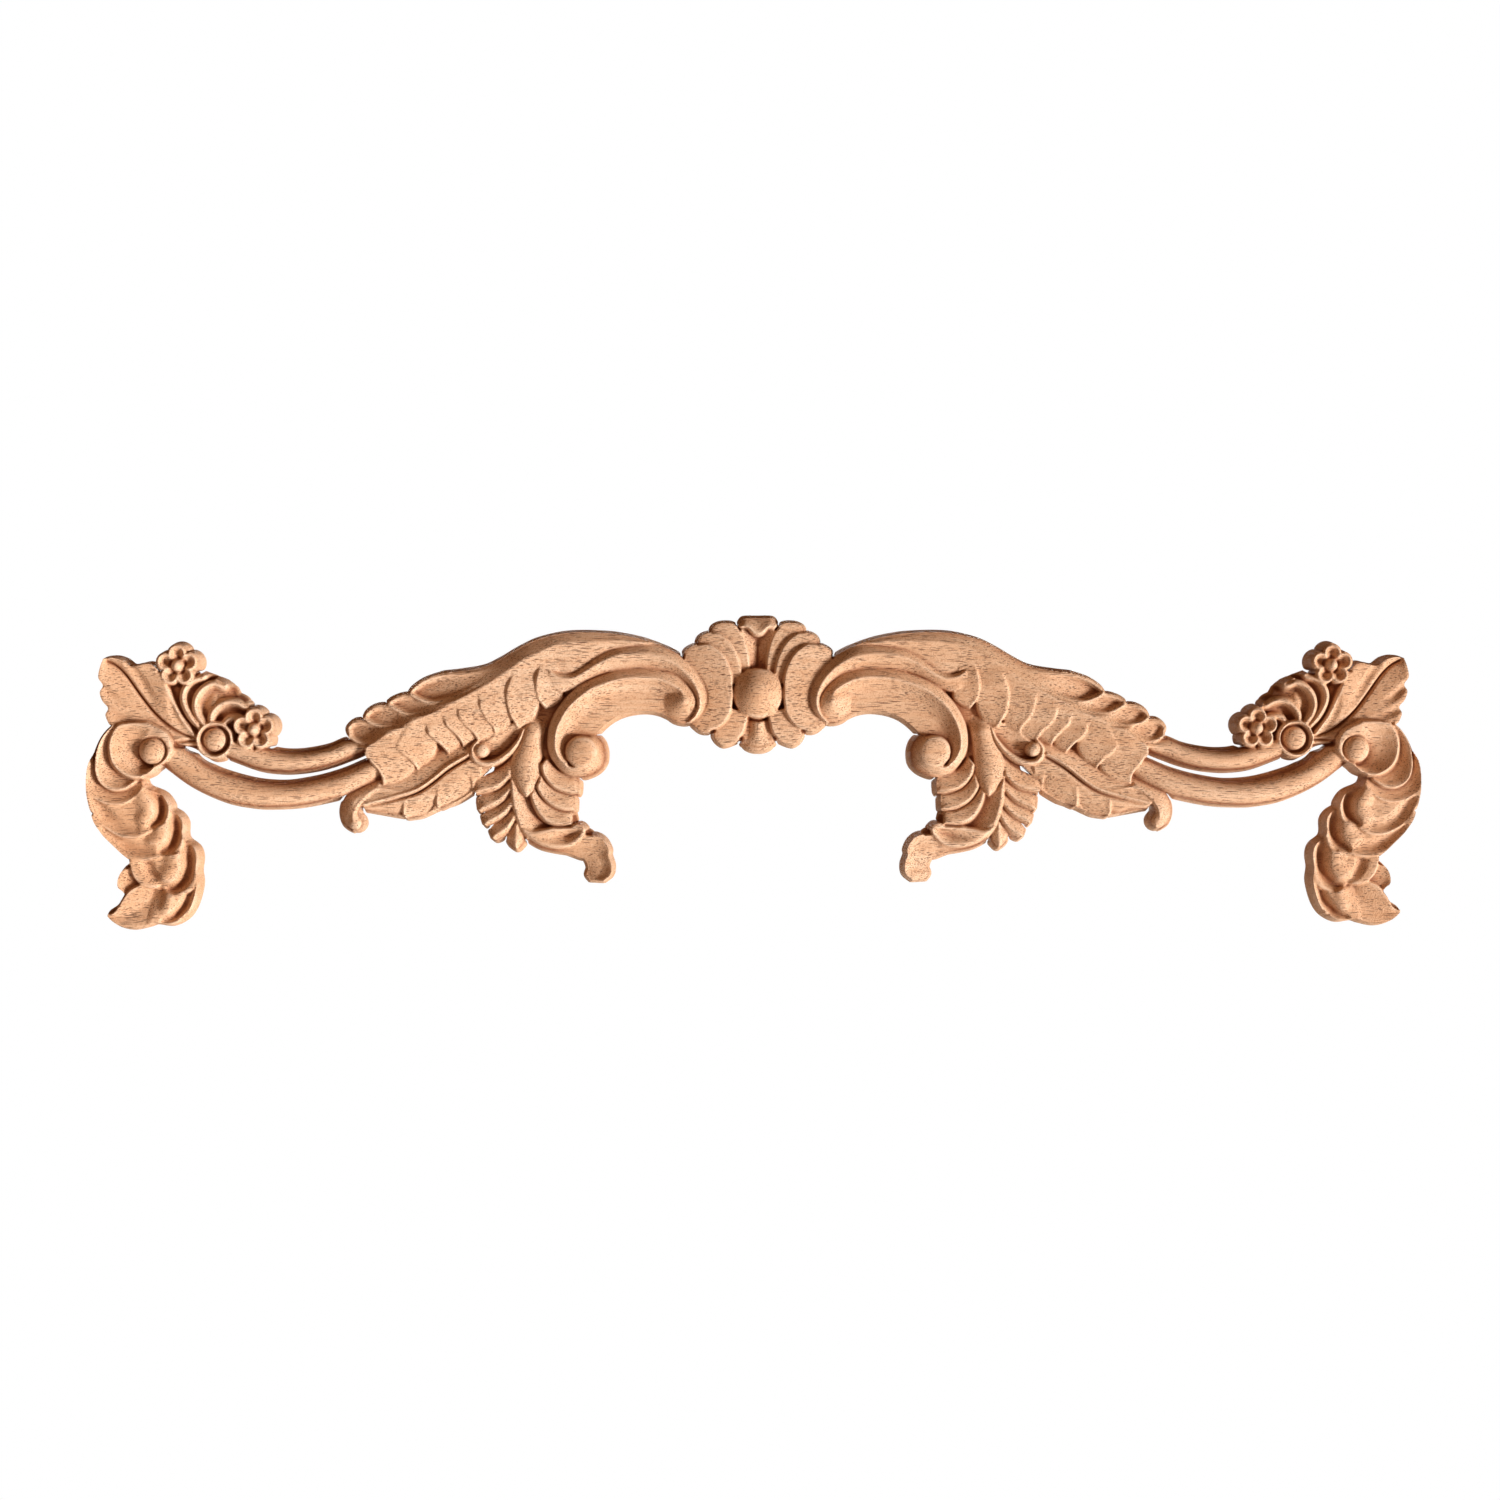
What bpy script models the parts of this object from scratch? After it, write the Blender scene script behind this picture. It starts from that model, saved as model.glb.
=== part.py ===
"""Carved wood applique with a flat back, made to be fixed to a board.

Lengths in the carving tables are millimetres: u runs from the centre line outwards, v upwards from
the centre of the boss; heights stand forward of the flat back. The two halves are mirror images.
"""
import bpy
import numpy as np

SCALE = 0.001
GRID_PITCH = 1.25
SOFTENING = 0.8
WALL_DRAFT = 2.2
OVERLAP = 5.0
HALF_TRIANGLES = 4700
MERGE_DISTANCE = 0.00005
WOOD_COLOUR = (0.62, 0.36, 0.19, 1.0)
WOOD_ROUGHNESS = 0.55

FAR = 50.0


def curve(points, pieces=6):
    """Smooth line through the points: each stretch is a cubic whose end slopes follow the neighbours."""
    p = np.array(points, float)
    if len(p) < 3:
        return p
    q = np.vstack([2 * p[0] - p[1], p, 2 * p[-1] - p[-2]])
    t = np.linspace(0, 1, pieces, endpoint=False)[:, None, None]
    a, b, c, d = q[:-3], q[1:-2], q[2:-1], q[3:]
    line = 0.5 * (2 * b + (c - a) * t + (2 * a - 5 * b + 4 * c - d) * t ** 2
                  + (3 * b - a - 3 * c + d) * t ** 3)
    line = np.transpose(line, (1, 0, 2)).reshape(-1, 2)
    return np.vstack([line, p[-1:]])


def along(values, where):
    """Value at a fraction of a length, the given values being spread evenly along it."""
    return np.interp(where, np.linspace(0, 1, len(np.atleast_1d(values))), np.atleast_1d(values))


def nearest(line, u, v):
    """Distance to a line, the fraction of its length at the nearest point, and the side (left > 0)."""
    best = np.full(u.shape, np.inf)
    where = np.zeros(u.shape)
    side = np.ones(u.shape)
    step = np.diff(line, axis=0)
    length = np.hypot(step[:, 0], step[:, 1]) + 1e-9
    start = np.concatenate([[0], np.cumsum(length)])
    for a, s, n, d in zip(line[:-1], step, length, start):
        pu, pv = u - a[0], v - a[1]
        t = np.clip((pu * s[0] + pv * s[1]) / n ** 2, 0, 1)
        gap = (pu - t * s[0]) ** 2 + (pv - t * s[1]) ** 2
        cross = s[0] * pv - s[1] * pu
        closer = gap < best
        best = np.where(closer, gap, best)
        where = np.where(closer, (d + t * n) / start[-1], where)
        side = np.where(closer, np.sign(cross), side)
    return np.sqrt(best), where, side


def within(ring, u, v):
    """True where a point lies inside a closed ring."""
    inside = np.zeros(u.shape, bool)
    for a, b in zip(ring, np.roll(ring, -1, axis=0)):
        if a[1] == b[1]:
            continue
        spans = (a[1] > v) != (b[1] > v)
        inside ^= spans & (u < (b[0] - a[0]) * (v - a[1]) / (b[1] - a[1]) + a[0])
    return inside


class Relief:
    """A carved face as heights over a grid, with the distance inside the outline at each point."""

    def __init__(self, pitch, reach=(0, 404), rise=(-146, 51)):
        self.pitch = pitch
        self.u = np.arange(reach[0], reach[1] + pitch / 2, pitch)
        self.v = np.arange(rise[0], rise[1] + pitch / 2, pitch)
        self.high = np.zeros((len(self.u), len(self.v)))
        self.inside = np.full(self.high.shape, -FAR)
        self.limit = None

    def window(self, line, margin=3.0):
        lo, hi = line.min(0) - margin, line.max(0) + margin
        i = slice(np.searchsorted(self.u, lo[0]), np.searchsorted(self.u, hi[0]))
        j = slice(np.searchsorted(self.v, lo[1]), np.searchsorted(self.v, hi[1]))
        return (i, j), *np.meshgrid(self.u[i], self.v[j], indexing="ij")

    def put(self, part, depth, height, mode, grow=None):
        """Lay a shape over what is there: its depth inside its own outline, and its height."""
        old, solid = self.high[part], self.inside[part]
        cover = np.clip(depth / self.pitch + 0.5, 0, 1)
        if self.limit is not None:
            cover = cover * (self.limit[part] > -self.pitch)
            depth = np.minimum(depth, self.limit[part])
        if mode == "add":
            self.high[part] = old + cover * height
            return
        if mode == "max":
            height = np.maximum(old, height)
        if grow is not None:
            height = np.where(solid > 0, old + grow * (height - old), height)
        cover = np.where((solid < 0) & (depth > -self.pitch), 1.0, cover)
        self.high[part] = old + cover * (height - old)
        self.inside[part] = np.maximum(solid, depth)

    def within_outline(self, outline):
        """Keep what is laid from here on inside an outline; None lifts the limit."""
        if outline is None:
            self.limit = None
            return
        ring = curve(outline)
        u, v = np.meshgrid(self.u, self.v, indexing="ij")
        self.limit = np.full(u.shape, -FAR)
        part, u, v = self.window(ring, 4)
        rim = nearest(np.vstack([ring, ring[:1]]), u, v)[0]
        self.limit[part] = np.where(within(ring, u, v), rim, -rim)

    def blade(self, left, right, base, tip, crest=0.5, swell=(2, 2), spine=None, mode="over", edge=0.0,
              fade=0.0, bowl=None, lips=()):
        """Leaf shape between two edges that run from base to tip.

        base and tip give the heights at the left edge, the crest and the right edge; between an
        edge and the crest the height falls by (1 - x) ** swell, x being the way in from the edge.
        bowl (rim, reach, depth) sinks the middle: nothing on the rim, then down over the reach.
        lips gives for the left and the right edge the height added at distances from that edge.
        """
        left, right = curve(left), curve(right)
        part, u, v = self.window(np.vstack([left, right]))
        ring = np.vstack([left, right[::-1]])
        rim = nearest(np.vstack([ring, ring[:1]]), u, v)[0]
        depth = np.where(within(ring, u, v), rim, -rim)
        dl = nearest(left, u, v)[0]
        dr = nearest(right, u, v)[0]
        t = np.linspace(0, 1, 24)
        if spine is None:
            spread = [np.stack([np.interp(t, np.linspace(0, 1, len(e)), e[:, k]) for k in (0, 1)], 1)
                      for e in (left, right)]
            middle = spread[0] * (1 - crest) + spread[1] * crest
            where = nearest(middle, u, v)[1]
            across = dl / (dl + dr + 1e-9)
            x = np.where(across < crest, across / crest, (1 - across) / (1 - crest))
            leftward = across < crest
        else:
            ds, where, side = nearest(curve(spine), u, v)
            mid = left[len(left) // 2]
            sign = nearest(curve(spine), mid[:1], mid[1:])[2][0]
            leftward = side == sign
            x = np.where(leftward, dl / (dl + ds + 1e-9), dr / (dr + ds + 1e-9))
        heights = [along((b, t2), where) for b, t2 in zip(base, tip)]
        low = np.where(leftward, heights[0], heights[2])
        power = np.where(leftward, swell[0], swell[1])
        h = heights[1] - (heights[1] - low) * (1 - np.clip(x, 0, 1)) ** power
        if edge:
            h = h - edge * (1 - np.clip(depth / 1.2, 0, 1)) ** 2
        if bowl is not None:
            y = np.clip((depth - bowl[0]) / bowl[1], 0, 1)
            h = h - along(bowl[2], where) * y * y * (3 - 2 * y)
        for shape, away in zip(lips, (dl, dr)):
            shape = curve(shape)
            h = h + np.interp(away, shape[:, 0], shape[:, 1])
        grow = None
        if fade:
            y = np.clip(where / fade, 0, 1)
            grow = y * y * (3 - 2 * y)
        self.put(part, depth, h, mode, grow)

    def plate(self, outline, height, bevel=(1.0, 0.7), slope=None, mode="over", fall=2.0):
        """Flat shape whose rim is rounded off: bevel gives the width and the drop of the rounding.

        slope (du, dv, u0, v0) tilts the top by du and dv per millimetre about the point (u0, v0).
        """
        ring = curve(outline)
        part, u, v = self.window(ring)
        rim = nearest(np.vstack([ring, ring[:1]]), u, v)[0]
        depth = np.where(within(ring, u, v), rim, -rim)
        x = np.clip(depth / bevel[0], 0, 1)
        h = height - bevel[1] * (1 - x) ** fall
        if slope is not None:
            h = h + slope[0] * (u - slope[2]) + slope[1] * (v - slope[3])
        self.put(part, depth, h, mode)

    def ridge(self, path, width, height, edge, power=2.0, mode="over"):
        """Bar along a path: half width, crest height and edge height may change along it."""
        line = curve(path)
        part, u, v = self.window(line, np.max(width) + 3)
        gap, where = nearest(line, u, v)[:2]
        w = along(width, where)
        top = along(height, where)
        low = along(edge, where)
        x = np.clip(gap / w, 0, 1)
        h = low + (top - low) * (1 - x ** power)
        self.put(part, w - gap, h, mode)

    def groove(self, path, width, depth):
        """Round cut along a path; width and depth may change along it, a negative depth raises."""
        line = curve(path)
        part, u, v = self.window(line, np.max(width) + 1)
        gap, where = nearest(line, u, v)[:2]
        w = along(width, where)
        cut = along(depth, where) * (1 - np.clip(gap / w, 0, 1) ** 2) ** 2
        self.put(part, w - gap, -cut, "add")

    def ball(self, centre, radius, top, edge, power=2.0, mode="over", fall=0.5):
        """Round boss: from top to edge the height falls as (1 - (r / radius) ** power) ** fall."""
        c = np.array([centre], float)
        part, u, v = self.window(c, radius + 3)
        r = np.hypot(u - c[0, 0], v - c[0, 1])
        x = np.clip(r / radius, 0, 1)
        h = edge + (top - edge) * (1 - x ** power) ** fall
        self.put(part, radius - r, h, mode)

    def soften(self, reach):
        """Weighted average of near heights inside the outline, weights falling as a bell curve."""
        n = int(np.ceil(2.5 * reach / self.pitch))
        k = np.exp(-0.5 * (np.arange(-n, n + 1) * self.pitch / reach) ** 2)
        k /= k.sum()
        mask = (self.inside > -self.pitch).astype(float)

        def blur(a):
            a = np.pad(a, ((n, n), (n, n)), mode="reflect")
            a = sum(w * a[i:a.shape[0] - 2 * n + i, :] for i, w in enumerate(k))
            return sum(w * a[:, i:a.shape[1] - 2 * n + i] for i, w in enumerate(k))

        weight = blur(mask)
        value = blur(self.high * mask)
        self.high = np.where(mask > 0, value / np.maximum(weight, 1e-6), 0)


CELL_SHAPES = {
    1: [("c0", "e0", "e3")], 2: [("c1", "e1", "e0")], 3: [("c0", "c1", "e1", "e3")],
    4: [("c2", "e2", "e1")], 5: [("c0", "e0", "e3"), ("c2", "e2", "e1")],
    6: [("c1", "c2", "e2", "e0")], 7: [("c0", "c1", "c2", "e2", "e3")], 8: [("c3", "e3", "e2")],
    9: [("c0", "e0", "e2", "c3")], 10: [("c1", "e1", "e0"), ("c3", "e3", "e2")],
    11: [("c0", "c1", "e1", "e2", "c3")], 12: [("c2", "c3", "e3", "e1")],
    13: [("c0", "e0", "e1", "c2", "c3")], 14: [("c1", "c2", "c3", "e3", "e0")],
    15: [("c0", "c1", "c2", "c3")],
}


def solid_from_relief(u, v, high, inside, draft):
    """Closed body of a relief: its carved face, a flat back and walls that splay by the draft.

    The outline is where the distance inside is nought; in each grid cell it runs straight between
    the points where that happens on the cell's sides.
    """
    nu, nv = inside.shape
    count = nu * nv
    at = np.arange(count).reshape(nu, nv)
    full = inside >= 0
    kind = (full[:-1, :-1] * 1 + full[1:, :-1] * 2 + full[1:, 1:] * 4 + full[:-1, 1:] * 8)
    code = {"c0": at[:-1, :-1], "c1": at[1:, :-1], "c2": at[1:, 1:], "c3": at[:-1, 1:],
            "e0": count + at[:-1, :-1], "e1": 2 * count + at[1:, :-1],
            "e2": count + at[:-1, 1:], "e3": 2 * count + at[:-1, :-1]}
    faces, rims = [], []
    for number, shapes in CELL_SHAPES.items():
        cells = kind == number
        if not cells.any():
            continue
        for shape in shapes:
            faces.append(np.stack([code[k][cells] for k in shape], 1))
            for a, b in zip(shape, shape[1:] + shape[:1]):
                if a[0] == "e" and b[0] == "e":
                    rims.append(np.stack([code[a][cells], code[b][cells]], 1))
    rims = np.vstack(rims)
    used = np.unique(np.concatenate([f.ravel() for f in faces]))
    new = np.full(3 * count, -1)
    new[used] = np.arange(len(used))

    # A point on a cell side lies where the distance inside passes through nought.
    grid_u, grid_v = np.meshgrid(u, v, indexing="ij")
    sort, cell = used // count, used % count
    i, j = cell // nv, cell % nv
    i2, j2 = np.minimum(i + (sort == 1), nu - 1), np.minimum(j + (sort == 2), nv - 1)
    a, b = inside[i, j], inside[i2, j2]
    t = np.where(sort == 0, 0.0, np.clip(a / np.where(a == b, 1, a - b), 0.08, 0.92))
    pu = grid_u[i, j] * (1 - t) + grid_u[i2, j2] * t
    pv = grid_v[i, j] * (1 - t) + grid_v[i2, j2] * t
    h = np.where(sort == 0, high[i, j], np.where(a >= 0, high[i, j], high[i2, j2]))

    # The foot of the wall stands out by the draft, less where another wall is near.
    pitch = u[1] - u[0]
    smooth = np.clip(inside, -6, 6)
    for axis in (0, 1):
        for _ in range(2):
            smooth = (np.roll(smooth, 1, axis) + 2 * smooth + np.roll(smooth, -1, axis)) / 4

    def look(field, x, y):
        fx = np.clip((x - u[0]) / pitch, 0, nu - 1.001)
        fy = np.clip((y - v[0]) / pitch, 0, nv - 1.001)
        p, q = fx.astype(int), fy.astype(int)
        fx, fy = fx - p, fy - q
        return ((field[p, q] * (1 - fx) + field[p + 1, q] * fx) * (1 - fy)
                + (field[p, q + 1] * (1 - fx) + field[p + 1, q + 1] * fx) * fy)

    slope_u, slope_v = np.gradient(smooth, pitch)
    out_u, out_v = -look(slope_u, pu, pv), -look(slope_v, pu, pv)
    size = np.maximum(np.hypot(out_u, out_v), 1e-6)
    out_u, out_v = out_u / size, out_v / size
    reach = 1.25 * draft
    free = np.clip(-look(inside, pu + reach * out_u, pv + reach * out_v), 0, reach)
    splay = np.where(sort == 0, 0, 0.8 * free)
    top = np.stack([pu, -h, pv], 1)
    foot = np.stack([pu + splay * out_u, 0 * h, pv + splay * out_v], 1)
    n = len(used)
    polygons = []
    for f in faces:
        polygons.append(new[f])
        polygons.append(new[f][:, ::-1] + n)
    ra, rb = new[rims[:, 0]], new[rims[:, 1]]
    polygons.append(np.stack([rb, ra, ra + n, rb + n], 1))
    return np.vstack([top, foot]), polygons



def shell(r):
    r.plate([(9.4, -14), (9.6, -28.6), (8.2, -31), (5.6, -33.2), (0, -34.2), (-8, -31), (-9, -20)], 8.6,
            bevel=(1.2, 1.0))
    r.ridge([(0, -10), (0, -22), (0, -33)], (4.5, 5, 8), (3.4, 3.2, 1.6), (0, 0), power=1.6, mode="add")
    r.ridge([(-8, -31.6), (0, -33.4), (8, -31.6)], 1.3, 1.0, 0.0, mode="add")
    r.plate([(-11, 10), (-11, 40), (11, 40), (11, 10)], 4.6, bevel=(0.6, 0))
    r.blade([(0, 42.6), (0, 30), (0, 10)], [(10, 42.6), (10.6, 36), (9, 26), (7.5, 10)], (4.6, 7.0, 9.4),
            (4.6, 6.6, 8.4), crest=0.5, swell=(1, 1))
    r.blade([(0, 42.6), (0, 30), (0, 10)], [(-10, 42.6), (-10.6, 36), (-9, 26), (-7.5, 10)],
            (4.6, 7.0, 9.4),
            (4.6, 6.6, 8.4), crest=0.5, swell=(1, 1))
    r.plate([(27, -23.6), (26, -26.6), (24, -29.2), (20.5, -31), (14.8, -29.2), (11, -26.8),
             (8.6, -23.4), (7.3, -19), (6.8, -12), (18, -8)], 12.2, slope=(-0.06, 0.05, 8, -20))
    r.plate([(28.4, 36), (27, 40), (24.2, 41.8), (20.7, 42.5), (15.8, 42.2), (12.3, 39.8), (9.7, 36),
             (7.6, 31.5), (6.0, 26), (5.1, 20.5), (4.9, 10), (12, 8)], 10.6, slope=(-0.08, 0.0, 5, 20))
    r.blade([(11.6, 40.6), (10.6, 39.6), (8.4, 39.8), (6.2, 39), (4.6, 37.2), (3, 35.4), (0, 34.4),
             (-3, 35.4), (-4.6, 37.2)],
            [(11.6, 41), (10.2, 43.5), (8.8, 45.2), (5, 45.5), (0, 45.4), (-4, 45.4)], (10, 12, 7.5),
            (12.5, 13, 7.5),
            crest=0.12, swell=(1.2, 1.1))
    r.plate([(36.6, 29), (35.6, 33), (33.2, 35.3), (29, 36.6), (25.2, 36.6), (22.7, 35.8), (19.4, 33.4),
             (16.2, 30.2), (13.6, 25.7), (11.7, 21.2), (10.4, 16), (9.6, 6), (20, 6)],
             13.0, slope=(-0.09, 0.0, 10, 20))
    r.plate([(44.8, 22.5), (43.4, 26), (40.2, 28.1), (36.2, 29.4), (30, 29.8), (26.9, 28.4), (22.5, 25),
             (18.9, 20), (15.6, 11), (15, 0), (15.6, -8), (17.5, -13.7), (20.7, -18), (24.6, -20.9),
             (29.8, -22.8), (34, -22.6), (37.6, -20.2), (41, -16), (45, -5)],
             15.4, slope=(-0.12, 0.02, 16, 0))
    r.ball((0, 0), 15.3, 21.2, 12.8, 2.0, fall=1.0)


def arch(r):
    """Main leaf: upper slope, midrib crest and the lower side; then the lobes."""
    top = [(236, -24), (226, -12), (212, -3), (200, 6), (195, 9.6), (190, 12.2), (180, 13.4), (165, 16),
           (155, 20.6),
           (145, 26.5), (135, 31.6), (125, 34.6), (115, 36.4), (104, 36.8), (90, 36.2), (80, 34.8),
           (70, 32.6),
           (60, 29.2), (54, 26.4)]
    crest = [(236, -31), (225, -26), (215, -20.5), (205, -16), (195, -12), (180, -4.5), (165, 3.5),
             (150, 13.5), (140, 20.5), (130, 25), (122, 28.8), (110, 30.8), (95, 31), (80, 31.3),
             (65, 29.5),
             (55, 26.2)]
    under = [(226, -46), (206, -38), (192, -27), (178, -22), (160, -12), (146, -4), (134, 0), (126, 9.5),
             (118, 10.5), (112, 10), (108, 11.5), (103, 15), (98, 19), (92, 22.5), (86, 25), (78, 26),
             (65, 26), (55, 24.6)]
    r.blade(top, under, (8, 18, 12), (13.5, 15.5, 13), spine=crest, swell=(1.0, 1.0))
    upper = [
        ([(222, -24), (232, -17), (240, -15.7), (244, -17), (247, -20.5), (246, -24.5)],
         [(222, -26.5), (228, -28.6), (235, -30.4), (240, -29.6), (244, -27.5), (246, -25)],
         (11, 12.5, 15), 3.2, 0.5),
        ([(205, -15), (218, -8), (226, -6.7), (231, -7.8), (235, -10.5), (237, -14)],
         [(206, -17.4), (212, -20), (220, -20.7), (227, -20), (233, -18), (237, -14.5)], (13, 13, 15),
         3.6, 0.5),
        ([(182, -3), (200, 0), (212, -0.4), (218, -2), (222, -4.3), (223, -6.2)],
         [(184, -6.5), (195, -11), (203, -13), (211, -13), (218, -10), (223, -6.5)], (13, 13, 15.5),
         3.6, 0.6),
        ([(150, 20.6), (158, 17.6), (166, 15), (174, 13.4), (182, 12.8), (190, 12.0), (200, 8.8),
          (207, 4.3), (210, 0.5)],
         [(156, 12), (166, 5), (175, -0.2), (184, -4.3), (195, -6.3), (204, -4), (210, 0)], (14.5, 15, 16),
         4.8, 0.7),
    ]
    for over, below, heights, sunk, fade in upper:
        r.blade(over, below, heights, (10, 12, 13.4), crest=0.5, swell=(1.2, 1.2), edge=0.8, fade=fade,
                bowl=(1.1, 2.9, (0, 0.5 * sunk, 1.2 * sunk)))
    lower = [
        ([(222, -26), (234, -31), (235, -36), (232, -41), (227.5, -46), (225.3, -52), (225, -54.3)],
         [(200, -22), (204, -32), (206, -40), (207, -46), (213, -51), (219, -54), (224.5, -54.6)]),
        ([(210, -20), (216.5, -31), (213, -36), (208, -40.5), (204.5, -45)],
         [(194, -16), (192.5, -27), (192.8, -33), (196, -39), (203.5, -44.6)]),
        ([(202, -15), (198.5, -20), (197.5, -24), (194, -27.8), (190, -31.5), (186, -35.5)],
         [(186, -9), (179, -24), (178.5, -30), (182, -34), (185.5, -35.6)]),
        ([(190.5, -10), (188, -16), (186.5, -19.5), (183, -23), (179.3, -27), (177, -31.5)],
         [(175, -5), (168.5, -22), (169.3, -27.5), (173, -30), (176.5, -31.6)]),
        ([(181.5, -5), (180, -10), (178.8, -15), (175, -20), (171, -23.5), (168, -29)],
         [(162, 1), (156, -18), (159, -25), (163.5, -28), (167.5, -29.2)]),
        ([(169, 2), (167, -4), (166.5, -9), (163, -16), (159.5, -19.5), (158, -23.5)],
         [(150, 8), (146.5, -8), (148.3, -18), (152.5, -22.5), (157.6, -24.5)]),
        ([(146, 14), (150, 5), (151.2, -1), (150.3, -8), (148, -15), (144, -20.5)],
         [(130, 17), (128, 5), (131.3, -6), (134, -14), (139, -19), (143.5, -21)]),
        ([(128.4, 20), (131.5, 15), (133.3, 8), (133.2, 1), (131.2, -5), (127.8, -9)],
         [(121, 17), (119, 8), (117, 0), (118, -4), (123, -7.5), (127.3, -9.2)]),
    ]
    for edge, far in lower:
        r.blade(edge, far, (18.4, 17.4, 16.8), (15.0, 12.2, 9.6), crest=0.55, swell=(1.3, 1.1),
                edge=0.6, fade=0.36)


def ground(r):
    """Low ground that joins the leaves and scrolls."""
    r.ball((0, 2), 26, 8, 8)
    r.plate([(-6, 41), (9.6, 41.6), (12, 40.6), (20, 38.6), (25.6, 37.2), (28.6, 36), (33, 32.4),
             (36.4, 29.8), (41, 25.6), (45.2, 22.4), (46, 10), (42, -12), (35, -20), (27.6, -23),
             (23.4, -25.6), (17, -27.4), (10.8, -27.4), (7, -28.4), (-6, -29)], 5, bevel=(1.0, 0.5))
    for outline, height in [
        ([(118, -2), (130, 10), (150, 4), (172, -6), (196, -22), (206, -38), (228, -42), (233, -52),
          (238, -62),
          (234, -66), (205, -58), (180, -42), (166, -36), (152, -34), (146, -46), (132, -46), (120, -30)],
          8),
        ([(88, 12), (100, 20), (130, 20), (142, 0), (136, -20), (130, -42), (120, -47), (112, -48),
          (118, -30),
          (118, -12), (106, 0)], 8),
        ([(124, -40), (150, -30), (158.2, -43.4), (159.4, -46.5), (164.8, -49.8), (167, -59), (162, -66),
          (158, -78),
          (150, -84), (140, -87), (114, -86), (110, -79), (114, -60), (112, -50)], 7),
        ([(114, -80), (105, -81.5), (96, -90), (103, -99), (116, -95.5)], 8),
        ([(174, -34), (160.8, -42), (163, -46.6), (167.8, -51.2), (173, -57), (182, -61), (190, -50)], 10),
    ]:
        r.plate(outline, height, bevel=(1.0, 0.5))


def rails(r):
    """Twin round rails with a narrow slot between them."""
    r.blade([(232, -30), (246, -27.2), (258, -31.5), (270, -34), (280, -34.8), (290, -33.8), (302, -30),
             (316, -26)],
            [(232, -33.4), (245, -38), (255, -41.7), (265, -44.4), (275, -45.9), (286, -46.3),
             (300, -44.4),
             (318, -37.8)], (7.6, 13.2, 7.4), (7.6, 13.2, 7.4), crest=0.5, swell=(2.3, 2.3))
    r.blade([(230, -37), (245, -44.4), (258, -48.9), (270, -51.7), (284, -53.6), (300, -52.6), (315, -49),
             (328, -44.2), (338, -37.2), (350, -28)],
            [(226, -49), (235, -54.2), (247, -60.2), (260, -63.7), (275, -66.5), (290, -67.4),
             (303, -66.9),
             (320, -63.4), (340, -54.2), (358, -41)], (7.6, 13.8, 8.6), (8, 13.8, 9),
             crest=0.5, swell=(2.4, 2.2))


def lower_leaf(r):
    """Leaf under the lobes of the main one: a vein, a light slope above it and scalloped edge below."""
    r.blade([(172, -35), (180, -40.5), (190, -47.5), (200, -55), (210, -60.3), (222, -62.7), (237, -67)],
            [(170, -27), (186, -32), (204, -41), (214, -47), (226, -51), (240, -58)],
            (12.5, 10.6, 8.6), (12.2, 10.8, 9.4), crest=0.5, swell=(1, 1))
    r.blade([(165, -41.5), (172, -36.5), (180, -40.5), (190, -47.5), (200, -55), (210, -60.3),
             (222, -62.7), (237, -67)],
            [(168, -51.6), (170.4, -57.5), (175, -61), (182, -65), (192, -68.4), (203, -73.2),
             (212, -73.6), (224, -71.6), (236, -69.4)],
            (12, 11.6, 9.5), (13, 12.5, 9), crest=0.3, swell=(1, 1.6))
    for edge, far in [
        ([(237, -67), (226, -65), (214, -64), (205, -62)], [(236, -69.6), (226, -70.6), (219, -72.4),
                                                            (212.5, -72)]),
        ([(214, -60), (213, -66), (213.4, -71.5), (211.5, -74.2)], [(193, -60), (194.5, -67), (201, -72.6),
                                                                    (210, -74.4)]),
        ([(196, -52), (192.8, -58), (193.4, -64), (192.5, -68.4)], [(173, -50), (172.5, -57.5),
                                                                    (180, -63.2), (190.5, -68.4)]),
    ]:
        r.blade(edge, far, (13.2, 11.6, 9), (12.6, 10.6, 8), crest=0.45, swell=(1.6, 1.2),
                edge=0.8, fade=0.4)
    r.ridge([(173, -36.5), (185, -43), (195, -51), (205, -57.5), (220, -62), (237, -66.5)],
            (1.8, 1.8, 1.8, 1.2), (14, 13.5, 13), (10.5, 10, 10), mode="max")
    r.groove([(174, -38.5), (186, -46), (196, -54), (206, -60), (222, -64.5), (238, -68)], 1.4,
             (3.5, 3.5, 1.5))
    r.blade([(228, -51), (238, -55.4), (247, -60.4), (250.2, -67), (250.6, -73), (248.5, -78.6),
             (243.6, -82)],
            [(226, -58), (233, -61), (239, -65.5), (240, -69.5), (239.4, -73), (238, -76.2), (239, -79.6)],
            (7.5, 12, 10.5), (8, 13, 9.5), crest=0.75, swell=(1.5, 2))
    r.ridge([(207, -56.5), (218, -58), (228, -56.8), (235, -61), (240.5, -67), (242.6, -73), (242, -77)],
            (1.2, 2, 2.2), (11.5, 12.5, 13.5), (9, 9.5, 10), mode="max")
    r.ball((241.6, -77.4), 4.2, 13.2, 9.5, 2.0, mode="max")


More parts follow.
